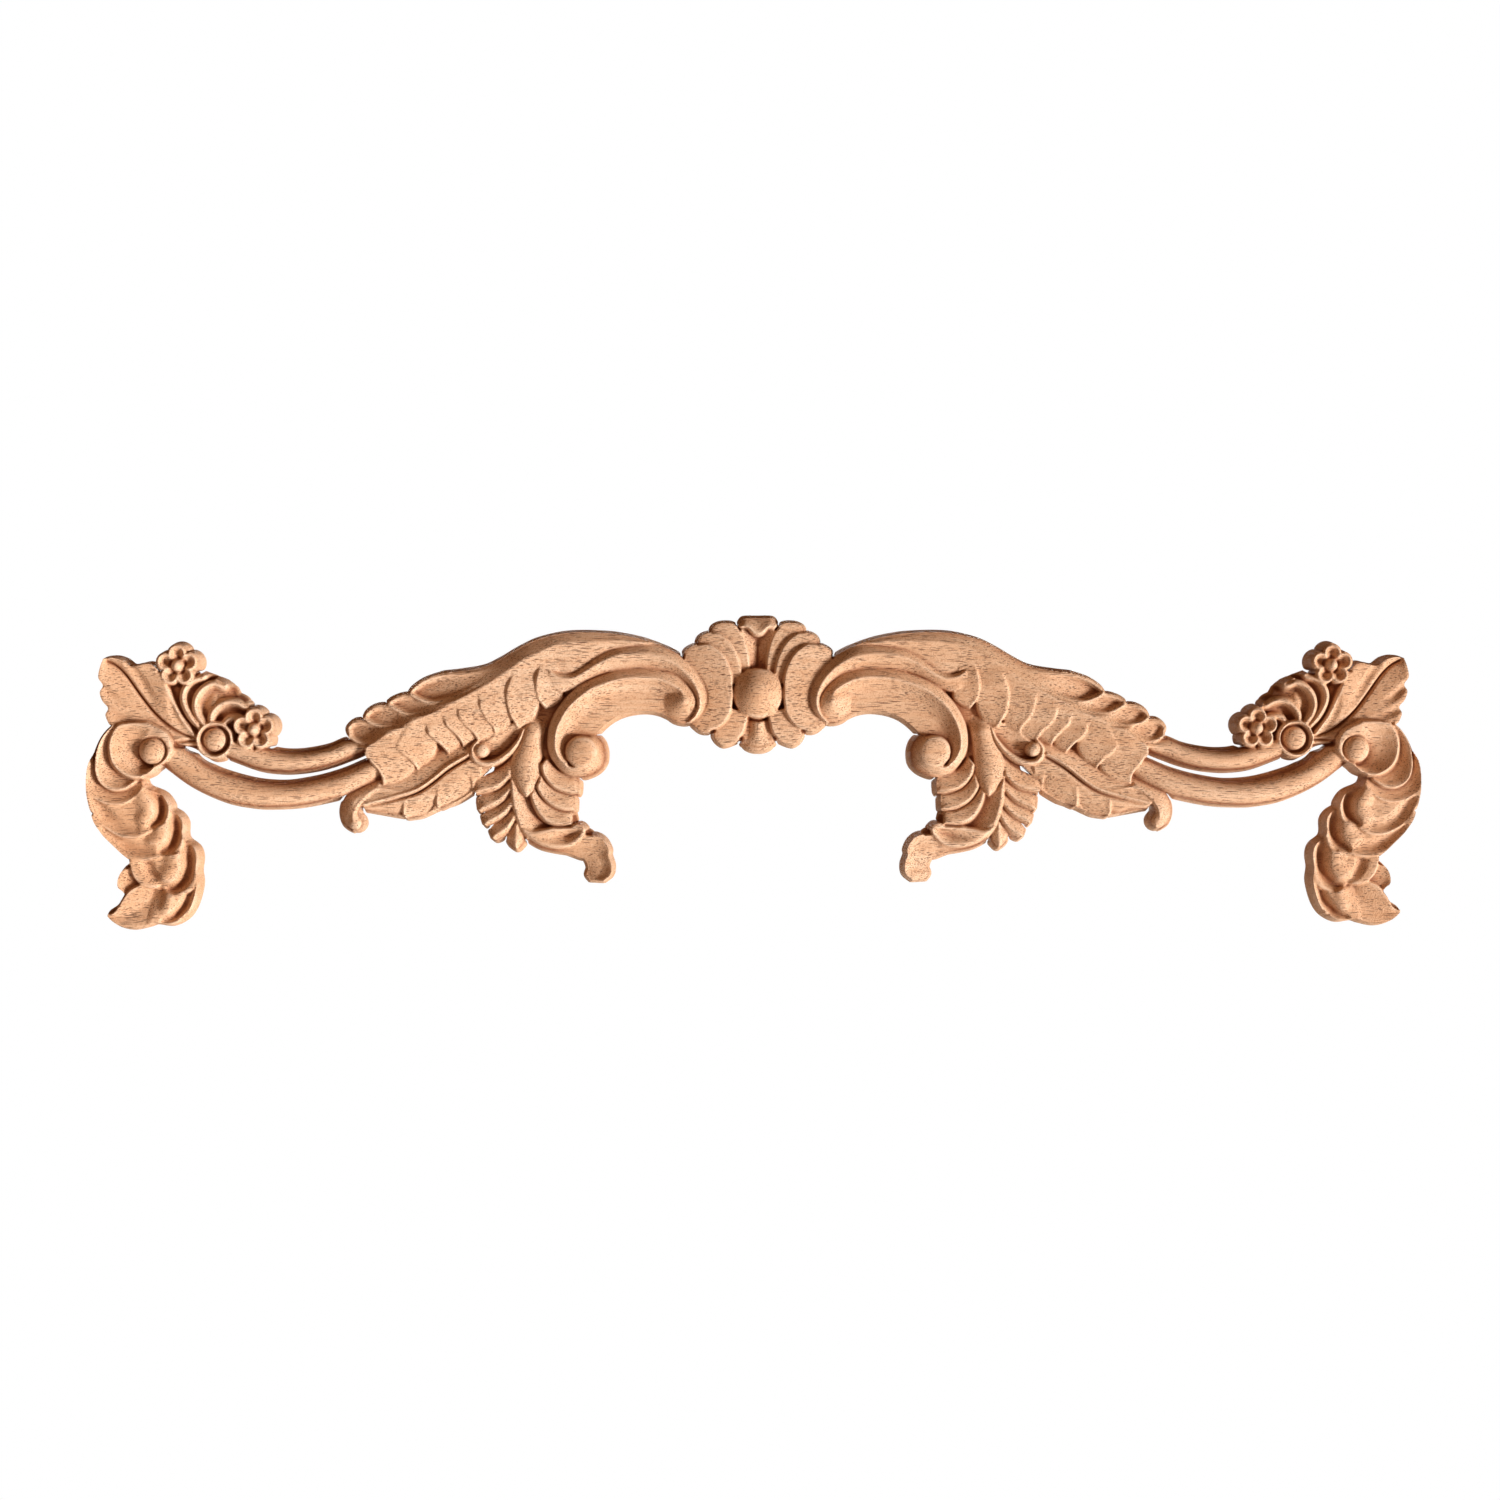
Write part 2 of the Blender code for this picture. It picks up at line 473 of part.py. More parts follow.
def fringe(r):
    """Leaflets on the outer side of the husk, tip first; each falls back from a crest by its lower edge."""
    for foot, crest, top in [
        ([(145.3, -77), (148, -81.7), (152, -85.4), (157.3, -88.2)],
         [(147, -75), (150, -79.4), (154, -82.8), (159.2, -85.6)],
         [(147, -67), (153, -74), (159, -78.5), (161.2, -82), (160, -86)]),
        ([(147.3, -69), (151, -73.5), (156, -76.8), (162.8, -79.8)],
         [(148.4, -66.8), (152.4, -71), (157.3, -74.4), (164, -77.4)],
         [(148.5, -58), (156, -66.5), (162, -69.7), (165.8, -73), (165, -77.5)]),
        ([(148.3, -60), (151.5, -64.3), (156.5, -67.9), (166.3, -71.6)],
         [(149, -57.8), (153, -61.8), (158, -65.3), (167, -69)],
         [(148.6, -49), (157, -57), (164.5, -60), (168.3, -63), (168, -69)]),
        ([(148.6, -51.8), (152, -55.6), (158, -59), (168.4, -61)],
         [(149.4, -49), (153.4, -53), (159, -56.2), (169.5, -58.6)],
         [(148, -36), (152, -42), (157.6, -46), (163.5, -48.8), (170, -52), (171, -57)]),
    ]:
        r.blade(foot, top, (8.0, 13.0, 8.8), (8.2, 12.0, 8.8), swell=(1.1, 1.15), spine=crest)
    r.blade([(146, -77.5), (151, -84.6), (150.6, -88), (149, -91), (145.6, -93.6)],
            [(144, -77.5), (141, -82), (140.4, -86), (141.4, -90), (144.6, -93.6)],
            (8.8, 12.5, 8.2), (8, 11.5, 8), swell=(1.2, 1.5),
            spine=[(145.5, -77.5), (145.2, -84), (145.8, -90), (145.2, -93.2)])


def end_scroll(r):
    """Leaf that hangs from the husk and turns inward to the lower end."""
    r.blade([(138.4, -88.4), (143.5, -80.8), (146.5, -73), (148.3, -63), (148.6, -50)],
            [(120, -82), (126, -76), (131, -67), (134, -58), (136, -47)],
            (10, 12.8, 3.6), (13.5, 14, 6), crest=0.13, swell=(1.5, 1.0))
    r.blade([(139, -88), (131, -92.4), (122, -94.6), (113, -96), (107, -97.6), (103.8, -100.5),
             (102.3, -105),
             (103.4, -109), (101.5, -112)],
            [(137, -82), (124, -84), (112, -84), (103, -85), (97, -85.6), (92.6, -88.6), (89.8, -94),
             (90, -97.5),
             (88.2, -103), (88.8, -108.6), (93, -112.4)],
            (8.5, 10, 11), (8.0, 10.2, 14.0), crest=0.5, swell=(1.2, 1.5))
    r.blade([(142, -79), (136, -81.8), (130, -81.2), (121, -79.4), (113, -78.4), (106.5, -79),
             (103.6, -81.4)],
            [(141, -84.4), (134, -89.4), (127, -92.2), (120, -93), (113, -92), (107.6, -88.6),
             (104, -84.4)],
            (11.5, 13.2, 10.5), (14.2, 14.8, 13.2), crest=0.5, swell=(1.6, 1.4), edge=0.7,
            bowl=(0.8, 7.0, (0.2, 2.0, 5.5, 6.5)))


def ruffles(r):
    """Overlapping leaflets on the inner side of the husk, lowest first, each with its crest by the rim."""
    for foot, crest, top in [
        ([(138, -58.6), (137, -64.4), (134.6, -70.4), (131, -75.6), (127, -78.8), (121, -80.4),
          (112.2, -80)],
         [(136.6, -57.5), (135.2, -63.6), (132.8, -69.2), (129.4, -73.8), (125.6, -76.6), (120, -78),
          (111.8, -77.8)],
         [(134, -50), (129, -60), (122, -66), (115, -68.6), (112, -70), (111.4, -74), (111.4, -79)]),
        ([(134.4, -52), (133.8, -57.4), (131.4, -62), (128.2, -65.8), (123.8, -68.8), (118, -71),
          (111.4, -71.4)],
         [(132.8, -51), (132.2, -56.6), (129.8, -60.8), (126.8, -64.2), (122.8, -66.8), (117.4, -68.9),
          (111, -69.2)],
         [(131, -44), (126, -51), (120, -56.5), (113, -59.4), (110.6, -61), (110.2, -65), (110.4, -70)]),
        ([(131.2, -44), (130.2, -49), (127.4, -53.8), (123.4, -57.6), (118.4, -59.8), (113, -61),
          (108.4, -60.8)],
         [(129.6, -43), (128.6, -48.2), (126, -52.2), (122.4, -55.6), (117.8, -57.7), (112.8, -58.9),
          (108.2, -58.8)],
         [(127, -38), (121, -45), (114, -48.4), (109.4, -49.6), (107.9, -52), (107.7, -56), (108, -59.5)]),
    ]:
        r.blade(foot, top, (8.4, 14.2, 9.0), (8.6, 13.0, 10.6), swell=(1.1, 1.2), spine=crest)


def husk(r):
    """Long bud under the stem, round across."""
    r.blade([(138, -12), (142, -22), (145, -29.5), (147.6, -36.5), (148.8, -44), (148, -51.6),
             (145, -56.8),
             (142, -60), (139.4, -61.9)],
            [(124, -12), (127.6, -22), (129.4, -30), (130, -38), (130.3, -46), (131.6, -52),
             (133.6, -56.4),
             (136.2, -60), (138.6, -61.9)],
            (11, 14.5, 9.5), (10.5, 15.0, 10.5), crest=0.5, swell=(2.0, 2.0), fade=0.25)


def pod(r):
    """Open pod: a floor that slopes to a trough behind the round rim, and a pea at its end."""
    r.blade([(141.4, -20), (148, -17.5), (157, -21.5), (163, -26), (168, -28.6), (172, -32)],
            [(143.5, -27), (147.4, -33), (151.5, -37), (156.5, -40.4), (162, -42.2), (168, -41)],
            (13.2, 10.0, 7.0), (12.5, 8.5, 5.5), crest=0.45, swell=(1.2, 1.4))
    r.ridge([(140.6, -21), (143.2, -27.4), (147, -32.8), (151.6, -37.2), (157, -40.6), (162.5, -42),
             (168, -41),
             (171, -37.4), (171, -32.6), (168.8, -29.4)],
            (0.8, 1.9, 2.2, 2.3, 2.2, 1.8), (13.6, 14.2, 14.4, 14.4, 14), (9.5, 9.5, 9.8, 10), power=2.2)
    r.ball((166, -34), 4.6, 15.4, 10.5, 2.4)


def scroll(r):
    """Big inward scroll under the arch, with the S leaf and the outer turn over it."""
    cove = [(39, -5), (45, 3), (52, 7.5), (58, 10), (65, 11.2), (75, 11.2), (86, 9.5), (93, 7.5),
            (101, 4.3),
            (108, -0.4), (114, -6), (119, -13), (122.5, -21.5), (123.5, -30), (122, -37), (118.5, -42),
            (113, -45)]
    inner = [(44.5, -4.4), (45.4, -0.6), (48, 2.4), (52, 5), (58, 8), (65, 9.2), (75, 9.2), (85, 7.7),
             (92, 5.5),
             (100, 2.5), (106, -2), (112, -7), (117, -14), (120.5, -22), (121.5, -30), (120, -36),
             (117, -40.5),
             (113, -43.5), (108, -44.5)]
    outer = [(37.3, -6), (40, 3), (44, 7.3), (50, 11.4), (57, 13.8), (65, 15.2), (75, 15.1), (85, 14),
             (95, 11), (105, 6.5), (112, 1.5), (118, -5), (123, -13), (126, -21), (126.7, -30),
             (125, -37.5),
             (120, -45), (114, -49), (106, -50.6)]
    lower = [(46, -16.4), (50, -16.4), (54, -13.8), (60, -11.3), (67, -10.2), (75, -10.8), (82, -12.6),
             (88, -15.6), (93, -19.5), (97.5, -24), (100, -26), (103, -30), (106, -36)]
    r.ball((45, -5), 12, 10, 10)
    r.blade(cove, lower, (20.5, 12.0, 11), (20.5, 12.0, 11.5), crest=0.62, swell=(2.0, 1.5), fade=0.08)
    r.plate([(100, -24.5), (97, -25.8), (93.6, -29.5), (92, -35), (92.5, -41.5), (95.5, -45.8),
             (100, -48.6),
             (105.5, -50.2), (112, -49.4), (114, -44), (114, -32), (108, -26)], 18.4, bevel=(7.2, 7.0),
             fall=1.25)
    r.blade(outer[::-1], inner[::-1], (11.5, 15, 18.4), (13.6, 16.2, 18.4), crest=0.5, swell=(1, 1),
            fade=0.02)
    turn = np.radians(np.arange(0, 360, 24))
    r.plate(np.stack([106 + 9.6 * np.cos(turn), -35.1 + 9.6 * np.sin(turn)], 1), 19.9, bevel=(6.5, 2.3),
            slope=(-0.06, 0, 106, 0), mode="max")
    r.ball((44.5, -4.6), 13, 19.2, 11.2, 1.15, mode="max", fall=1.0)
    r.blade([(116, 0.8), (119.5, 1.6), (123.2, 4.6), (125.2, 8), (125.3, 11.5), (124.6, 14.2), (121, 13.2),
             (117, 12.4),
             (112, 12.6), (108, 14.2), (103, 17.6), (98, 21.6), (92, 25.2), (86, 27.3), (78, 28.5),
             (68, 29.2)],
            [(113, 1.6), (110, 3.2), (105, 6.5), (98, 10), (90, 12.8), (83, 14.3), (75, 15), (68, 15.1)],
            (11.8, 16.0, 12.0), (13, 18, 13), swell=(1.1, 1.2),
            spine=[(124.9, 14), (122.5, 11.6), (119, 9.6), (114, 8.8), (109.5, 9.8), (105, 12.2),
                   (100, 15.4),
                   (94, 18.8), (87, 21.8), (80, 23.3), (74, 23.6), (68, 23.5)])
    r.blade([(90, 26), (84, 27.6), (78, 28.6), (70, 29.4), (63, 29.6), (55, 27.2), (47, 22.6), (40, 16.6),
             (35, 10.6),
             (32, 5), (30.5, 0), (30.5, -5), (32.5, -10.5), (36, -14.6), (41, -17.6)],
            [(94, 11.6), (88, 13.2), (83, 14.3), (75, 15), (65, 15.1), (57, 13.7), (50, 11.2), (45, 7.2),
             (41, 3),
             (38, -2), (37.2, -6), (37.4, -10), (39, -14), (42, -17.2)],
            (13, 18, 13), (12, 17.6, 13), swell=(1.2, 1.3), fade=0.14,
            spine=[(92, 19.7), (86, 22.2), (80, 23.3), (72, 23.7), (65, 23.2), (58, 21.6), (52, 18.9),
                   (46, 14.8), (40.6, 9.2), (37, 3), (35.3, -3), (35.7, -9), (38, -13.6), (42, -17)])


def end_leaf(r):
    """Leaf at the outer end, a channel along its vein, with the fan beside it."""
    r.plate([(336, 12), (329, 10.4), (323, 8), (316.8, 4.6), (313.2, -0.4), (307, -5), (304, -20),
             (318, -30),
             (336, -30), (352, -30), (362, -10), (356, 10), (345, 8)], 7.0, bevel=(1, 0.8))
    for rim, inner, high, low in [
        ([(333, 12), (338, 10.8), (342.4, 8), (345.2, 4.2), (346.6, 0), (346.4, -5), (344.4, -10.5),
          (340.6, -16.6),
          (334, -23)],
         [(326, 9.4), (324, 4), (322, -4), (322, -12), (326, -21)], 14.8, 8.4),
        ([(320, 7), (325, 8.8), (330, 7.6), (335, 4), (338.4, -1.4), (339.4, -8), (337.4, -14.6),
          (333, -20.5)],
         [(315, 3), (312.6, -2), (312, -9), (319, -16), (326, -21)], 15.4, 8.4),
        ([(306, -5.6), (311, -2.8), (317, -2), (323, -3.8), (327.6, -8), (330, -13), (330, -18)],
         [(303.6, -11), (306, -14), (312, -15), (320, -15), (326, -19)], 15, 8.6),
        ([(302, -14), (307, -12.2), (313, -11.4), (318.6, -12.8), (323, -17)],
         [(303, -22), (309, -23), (315, -22), (321, -20)], 13.5, 9),
    ]:
        r.blade(rim, inner, (high, 0.5 * (high + low), low), (high - 1, 0.5 * (high + low), low),
                swell=(1, 1),
                lips=[[(0, -4.6), (1.4, -1.8), (2.6, -0.1), (3.5, -0.2), (5.2, -3.8), (7.4, -4.8),
                       (13, -0.8),
                     (18, 0), (60, 0)]])
    r.blade([(384, -22), (387.4, -18), (389.6, -12.5), (388.4, -8.3), (391.4, -4), (392.9, 1),
             (391.4, 5.3),
             (393.7, 10), (392.7, 16), (391, 21)],
            [(330, -34), (337, -24), (343, -16), (347, -9), (350.5, -1), (353, 5), (357, 12), (361, 16.5),
             (365, 18), (370, 17), (375, 16.5), (380, 20), (385, 21.5), (389.5, 21.3)],
            (13.2, 10.5, 12.5), (14.5, 11.0, 14.6), swell=(1.2, 1.2), edge=0.7,
            spine=[(336, -28), (345, -24), (354, -18.5), (362, -11), (370, -0.5), (378, 11), (384, 17),
                   (389.5, 20.5)])
    for fold, depth in [
        ([(392, 5), (385, -2), (377, -7)], (1.6, 1.4, 0)),
        ([(389.4, -8.5), (381, -13), (371, -16)], (1.6, 1.4, 0)),
        ([(375.4, 17.5), (369, 9), (364, 0), (358, -8)], (1.6, 1.4, 1.0, 0)),
        ([(351, 0), (350.6, -8), (347, -16), (341, -23)], (0.5, 1.4, 1.4, 0.6)),
    ]:
        r.groove(fold, 3.6, depth)
    r.groove([(335, -27), (345, -23.8), (354, -18.3), (362, -10.8), (370, -0.4), (378, 11), (384, 17),
              (389, 19.6)],
             (1.0, 1.3, 1.3, 0.9), (2.5, 3.6, 3.6, 2.5))
    for v in (-28.3, -31.5):
        r.groove([(352, v - 1), (343, v), (335, v)], 1.1, (1, 3, 3))


def flower(r, centre):
    """Five round petals about a ball, one petal up; each petal is a small dish."""
    angles = np.radians(90 + 72 * np.arange(5))

    def at(angle, out):
        return (centre[0] + out * np.cos(angle), centre[1] + out * np.sin(angle))

    r.ball(centre, 8, 12.5, 12.5)
    for a in angles:
        r.ball(at(a, 7.0), 5.9, 15.4, 12, 3, mode="max")
    for a in angles:
        r.ball(at(a, 7.0), 4.3, -4.8, 0, 2.0, mode="add", fall=1.0)
        r.groove([at(a + np.pi / 5, 8.0), at(a + np.pi / 5, 9.8), at(a + np.pi / 5, 12)],
                 0.9, (0.1, 1.2, 2.5))
    r.groove([at(a, 4.6) for a in np.radians(np.arange(0, 361, 24))], 1.6, 2.6)
    r.ball(centre, 4.0, 16.8, 8, 2.2)


def cup(r):
    c = (325.3, -27.5)
    r.ball(c, 11.2, 14.5, 12, 3)
    r.ball(c, 9.2, 8.5, 8.5)
    r.ball(c, 7.2, 13.5, 8.5, 2.4)


def droop(r):
    """Hanging spray of overlapping lobes under the end scroll, lowest first.

    Every lobe stands up along its lower or outer edge and sinks towards the lobe that covers it; the
    long ones also roll over a bulge into a hollow before the rim on their inner side.
    """
    outline = [(387, -19), (391.6, -23.4), (394.8, -28), (397.4, -34), (399.3, -40), (400.7, -46),
               (401.1, -52),
               (400.8, -58), (399.9, -64), (398.4, -70), (396.6, -76), (393.6, -81), (390, -85.8),
               (381, -94.6),
               (376.2, -98.8), (375.8, -102), (379.8, -105.2), (382.3, -109), (383.2, -113), (382.6, -116),
               (379.4, -119.3), (382, -125), (384.5, -128.5), (389.2, -131.8), (388.5, -134), (383, -138),
               (375, -139.6), (366, -137.8), (361, -136.4), (352, -137.3), (344.2, -133.6), (339.9, -128),
               (337.3, -121), (335.8, -113), (336.6, -105.5), (335.8, -98), (337.4, -92.5), (342.8, -88),
               (344.5, -84), (344.5, -77), (347.3, -72.6), (351.8, -69.6), (352.8, -66), (357.2, -60.4),
               (366.5, -56), (368.6, -50), (363.4, -47), (360, -43.8), (354.5, -40.3), (350, -34),
               (353, -24),
               (365, -16)]
    r.within_outline(outline)
    r.plate(outline, 8, bevel=(1, 0.5))
    r.blade([(366, -101), (378.5, -104.4), (383.5, -110), (383.5, -116), (378.5, -119.6)],
            [(366, -108), (366, -113), (370, -117), (375, -119), (378, -119.6)], (12, 8.5, 10),
            (12.5, 9, 11),
            crest=0.6, swell=(1.2, 1.5))
    r.blade([(360, -110), (374, -115.6), (379, -120.5), (382.4, -126), (385.6, -130.2), (389.5, -132)],
            [(348, -112), (350, -126), (354, -137), (366, -138.6), (377, -140), (385, -137.4),
             (389.5, -133)],
            (13, 8.6, 12), (12.5, 10, 11), swell=(1.0, 1.0), edge=0.6,
            spine=[(360, -110), (362.4, -120), (367, -126.4), (374, -131), (382, -133), (389.5, -132.5)])
    r.blade([(360, -112), (365.4, -125), (371, -138.6)],
            [(335, -110), (336.6, -121), (341.6, -130.6), (350, -137), (358, -138.4)],
            (7, 12.8, 12.5), (9, 11.8, 11.5), crest=0.5, swell=(1.3, 1.0), mode="max")
    r.groove([(340, -117), (343.4, -126), (349, -132.4), (356, -135.6)], (4, 4.4, 4.4, 3), (3.5, 5, 5, 2))
    r.groove([(352, -119), (353.6, -128)], 6, -1.6)
    r.blade([(376, -95), (375.6, -103), (373.6, -109.5), (369.5, -113.8), (364, -116.2), (357.5, -115.8)],
            [(337, -86), (336.6, -93), (335.4, -99), (336.4, -105.5), (335.6, -112), (340, -118.4),
             (349, -120.4)],
            (14.0, 12.0, 13), (13.0, 11.5, 12.5), crest=0.5, swell=(1.2, 1.2), edge=0.8)
    r.groove([(342, -89), (341, -98), (341.6, -106), (344.6, -112.4), (350, -115.8), (356, -115)],
             (6, 5.5, 5.5, 5, 4),
             (4, 5.5, 5.5, 5, 2.5))
    r.groove([(350, -96), (349.6, -103), (353, -109.6)], 8, -2.4)
    r.groove([(366, -98), (364, -106), (358.6, -113)], (5.5, 5, 4), (2, 2.4, 1.4))
    r.blade([(400, -72), (395, -80.6), (390.8, -86.2), (381.8, -94.9), (375.4, -98.8), (368, -100),
             (360, -98.6), (351, -95.6)],
            [(352, -66), (348.5, -70), (344.5, -77), (343.5, -84), (343.6, -89.5), (346, -94),
             (350, -95.8)],
            (14.6, 12.0, 13), (13.6, 12.0, 12.5), crest=0.5, swell=(1.2, 1.2), edge=0.8)
    r.groove([(351, -69), (349, -77), (349, -84.6), (351.6, -90.6), (356.6, -94)],
             (4.5, 5.2, 5.2, 4.8, 3.6),
             (3, 5.5, 5.8, 5.2, 2.5))
    r.groove([(389, -81), (381, -88.5), (372, -92.6), (363, -93)], (5, 6, 5), (2.2, 3, 1.6))
    r.groove([(358, -78), (357.4, -84), (361, -88.6)], 7, -2.2)
    r.blade([(402.5, -52), (401.4, -61), (398.8, -69), (393.8, -77), (386.2, -83), (378, -86.2),
             (369, -85.8), (361.8, -81), (358, -77.8)],
            [(367, -50), (360, -57), (354, -62), (351.8, -67), (351.4, -72), (353, -76), (357, -78.2)],
            (15.2, 12.6, 14), (14.2, 12.4, 13), crest=0.5, swell=(1.2, 1.2), edge=0.8)
    r.groove([(363, -57), (358.4, -62.6), (357.2, -69), (358.6, -74.6), (362.6, -78.6)],
             (4.5, 5, 5, 4.6, 3.6),
             (3, 5.5, 5.8, 5.2, 2.5))
    r.groove([(395, -64), (390, -73), (382, -79), (373, -80.6)], (5, 6.5, 6, 5), (2.0, 3.2, 2.8, 1.4))
    r.groove([(368, -62), (365, -68.4), (367, -74.6)], 7, -2.2)
    r.blade([(398, -36), (401, -44), (402, -54), (398.5, -60.6), (392, -64.9), (384, -66.4), (377, -65.2),
             (371.5, -61.4),
             (367.5, -57)],
            [(394, -36), (393, -48), (390, -54), (384, -56.4), (378, -55.6), (373.5, -53), (368.5, -50)],
            (15, 12, 9.5), (15, 12.5, 10.5), crest=0.4, swell=(1, 1), fade=0.12,
            lips=[[(0, -2.6), (1, -1.1), (2.2, -0.1), (4, 0), (60, 0)]])
    r.blade([(385, -18), (391, -24.4), (394.8, -32.5), (396, -42), (394.8, -50), (391, -55.2),
             (385, -57.8), (378, -57),
             (372, -53)],
            [(380, -22), (385.6, -31), (385.6, -38), (383, -44), (379, -47.6), (374, -49.4), (369, -49.6)],
            (16, 12.0, 8), (16, 12.5, 10), crest=0.45, swell=(1, 1),
            lips=[[(0, -3.4), (1.2, -1.4), (2.6, -0.1), (4.5, 0), (60, 0)]])
    turn = np.array([(365, -17), (378, -17), (383.4, -20), (386.8, -27), (387.2, -34), (385.5, -41),
                     (381, -46.5),
                     (374, -50),
                     (367, -49.4), (361.5, -46.2), (354.5, -41.6), (350, -36), (348.5, -30), (352, -23)])
    r.plate((turn - (368, -34)) * 1.13 + (368, -34), 15, bevel=(3.2, 5.0), mode="max", fall=1.2)
    r.plate(turn, 16.2, bevel=(0.9, 0.8))
    r.blade([(364, -18), (377, -18.6), (382.4, -21.2), (385.6, -27.6), (386, -34), (384.4, -40.4),
             (380.2, -45.4),
             (373.6, -48.8), (367, -48.2), (361, -44.4)],
            [(360, -27), (365, -28.5), (368, -34), (366, -39.5), (361.5, -41)],
            (16.2, 14.6, 13.0), (15.4, 9.4, 6.4), crest=0.5, swell=(1.15, 1.15), fade=0.2)
    r.ball((361.5, -34), 8.6, 18.5, 10.5, 2.2)
    r.within_outline(None)


def carve(pitch, soft):
    r = Relief(pitch)
    ground(r)
    rails(r)
    lower_leaf(r)
    fringe(r)
    end_scroll(r)
    ruffles(r)
    husk(r)
    pod(r)
    arch(r)
    shell(r)
    scroll(r)
    end_leaf(r)
    flower(r, (301.8, -21.2))
    flower(r, (347.2, 17))
    cup(r)
    droop(r)
    r.soften(soft)
    return r

def clear_scene():
    for thing in list(bpy.data.objects):
        bpy.data.objects.remove(thing, do_unlink=True)


def wood():
    material = bpy.data.materials.new("carved_wood")
    material.use_nodes = True
    shader = material.node_tree.nodes["Principled BSDF"]
    shader.inputs["Base Color"].default_value = WOOD_COLOUR
    shader.inputs["Roughness"].default_value = WOOD_ROUGHNESS
    return material


def build():
    clear_scene()
    collection = bpy.data.collections.new("carved_wood_applique")
    bpy.context.scene.collection.children.link(collection)
    relief = carve(GRID_PITCH, SOFTENING)
    extra = int(OVERLAP / GRID_PITCH)
    u = np.concatenate([-relief.u[extra:0:-1], relief.u])
    high = np.concatenate([relief.high[extra:0:-1], relief.high])
    inside = np.concatenate([relief.inside[extra:0:-1], relief.inside])
    points, polygons = solid_from_relief(u, relief.v, high, inside, WALL_DRAFT)
    faces = [face for group in polygons for face in group.tolist()]
    mesh = bpy.data.meshes.new("carved_applique")
    mesh.from_pydata((points * SCALE).tolist(), [], faces)
    mesh.update()
    body = bpy.data.objects.new("carved_applique", mesh)
    collection.objects.link(body)
    body.data.materials.append(wood())

    triangles = sum(len(face) - 2 for face in faces)
    thin = body.modifiers.new("Fewer faces", "DECIMATE")
    thin.decimate_type = "COLLAPSE"
    thin.ratio = HALF_TRIANGLES / triangles
    thin.use_collapse_triangulate = True
    twin = body.modifiers.new("Other half", "MIRROR")
    twin.use_axis = (True, False, False)
    twin.use_bisect_axis = (True, False, False)
    twin.use_mirror_merge = True
    twin.merge_threshold = MERGE_DISTANCE
    return body


build()
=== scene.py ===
"""Carved wood applique, dressed: the finely carved face, its wood, the light and the camera."""
import math

import bpy
import numpy as np
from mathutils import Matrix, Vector


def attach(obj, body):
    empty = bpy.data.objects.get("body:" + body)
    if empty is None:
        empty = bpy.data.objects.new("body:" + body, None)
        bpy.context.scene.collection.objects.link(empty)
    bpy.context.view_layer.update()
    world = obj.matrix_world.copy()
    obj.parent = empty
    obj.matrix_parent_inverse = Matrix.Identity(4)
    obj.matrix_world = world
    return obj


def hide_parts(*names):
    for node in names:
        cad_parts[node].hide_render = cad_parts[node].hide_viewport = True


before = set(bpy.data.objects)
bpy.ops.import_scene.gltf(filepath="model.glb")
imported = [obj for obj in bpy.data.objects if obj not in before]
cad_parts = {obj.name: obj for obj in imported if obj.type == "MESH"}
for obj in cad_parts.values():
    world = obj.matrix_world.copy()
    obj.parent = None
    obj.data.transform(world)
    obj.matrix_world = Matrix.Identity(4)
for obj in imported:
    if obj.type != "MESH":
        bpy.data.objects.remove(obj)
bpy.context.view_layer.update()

# Carving, in millimetres. The two halves mirror each other about the middle.
GRID_PITCH = 0.5
SOFTENING = 0.45
WALL_DRAFT = 2.2
OVERLAP = 5.0  # how far the carved half runs past the middle before it is mirrored
HALF_TRIANGLES = 96000
FAR = 50.0  # stands for any distance outside every shape
TINY = 1e-9  # keeps a division from nought
SMALL = 1e-6  # least value that is divided by
EDGE_WIDTH = 1.2  # of the rounding along a blade's edge
BLADE_STEPS = 24  # points of the middle line of a blade
BELL_REACH = 2.5  # how far an average looks, in widths of its bell curve
CORNER_ROOM = 0.08  # share of a cell's side that the outline keeps from its ends
WALL_LOOK = 1.25  # how far the foot of a wall looks for the next wall, in drafts
WALL_SHARE = 0.8  # share of the free space that the foot may take
SMOOTH_LIMIT = 6  # the outline's direction is read from distances up to this
# Reaches of the average heights that each point's depth is read against; the wood paints shade into hollows
# and highlight onto raised edges from these depths.
PAINTED_LIGHT_REACHES = {"painted_shade_and_highlight_near": 1.6, "painted_shade_wide": 5.0}
PAINTED_LIGHT_FADE = 3.0  # height over the back at which hollows count in full

MILLIMETRE = 0.001  # in metres
CREASE_ANGLE = math.radians(48)
MERGE_DISTANCE = 0.00002  # metres, for the points on the middle line


def curve(points, pieces=6):
    """Smooth line through the points: each stretch is a cubic whose end slopes follow the neighbours."""
    p = np.array(points, float)
    if len(p) < 3:
        return p
    q = np.vstack([2 * p[0] - p[1], p, 2 * p[-1] - p[-2]])
    t = np.linspace(0, 1, pieces, endpoint=False)[:, None, None]
    a, b, c, d = q[:-3], q[1:-2], q[2:-1], q[3:]
    line = 0.5 * (2 * b + (c - a) * t + (2 * a - 5 * b + 4 * c - d) * t ** 2
                  + (3 * b - a - 3 * c + d) * t ** 3)
    line = np.transpose(line, (1, 0, 2)).reshape(-1, 2)
    return np.vstack([line, p[-1:]])


def along(values, where):
    """Value at a fraction of a length, the given values being spread evenly along it."""
    return np.interp(where, np.linspace(0, 1, len(np.atleast_1d(values))), np.atleast_1d(values))


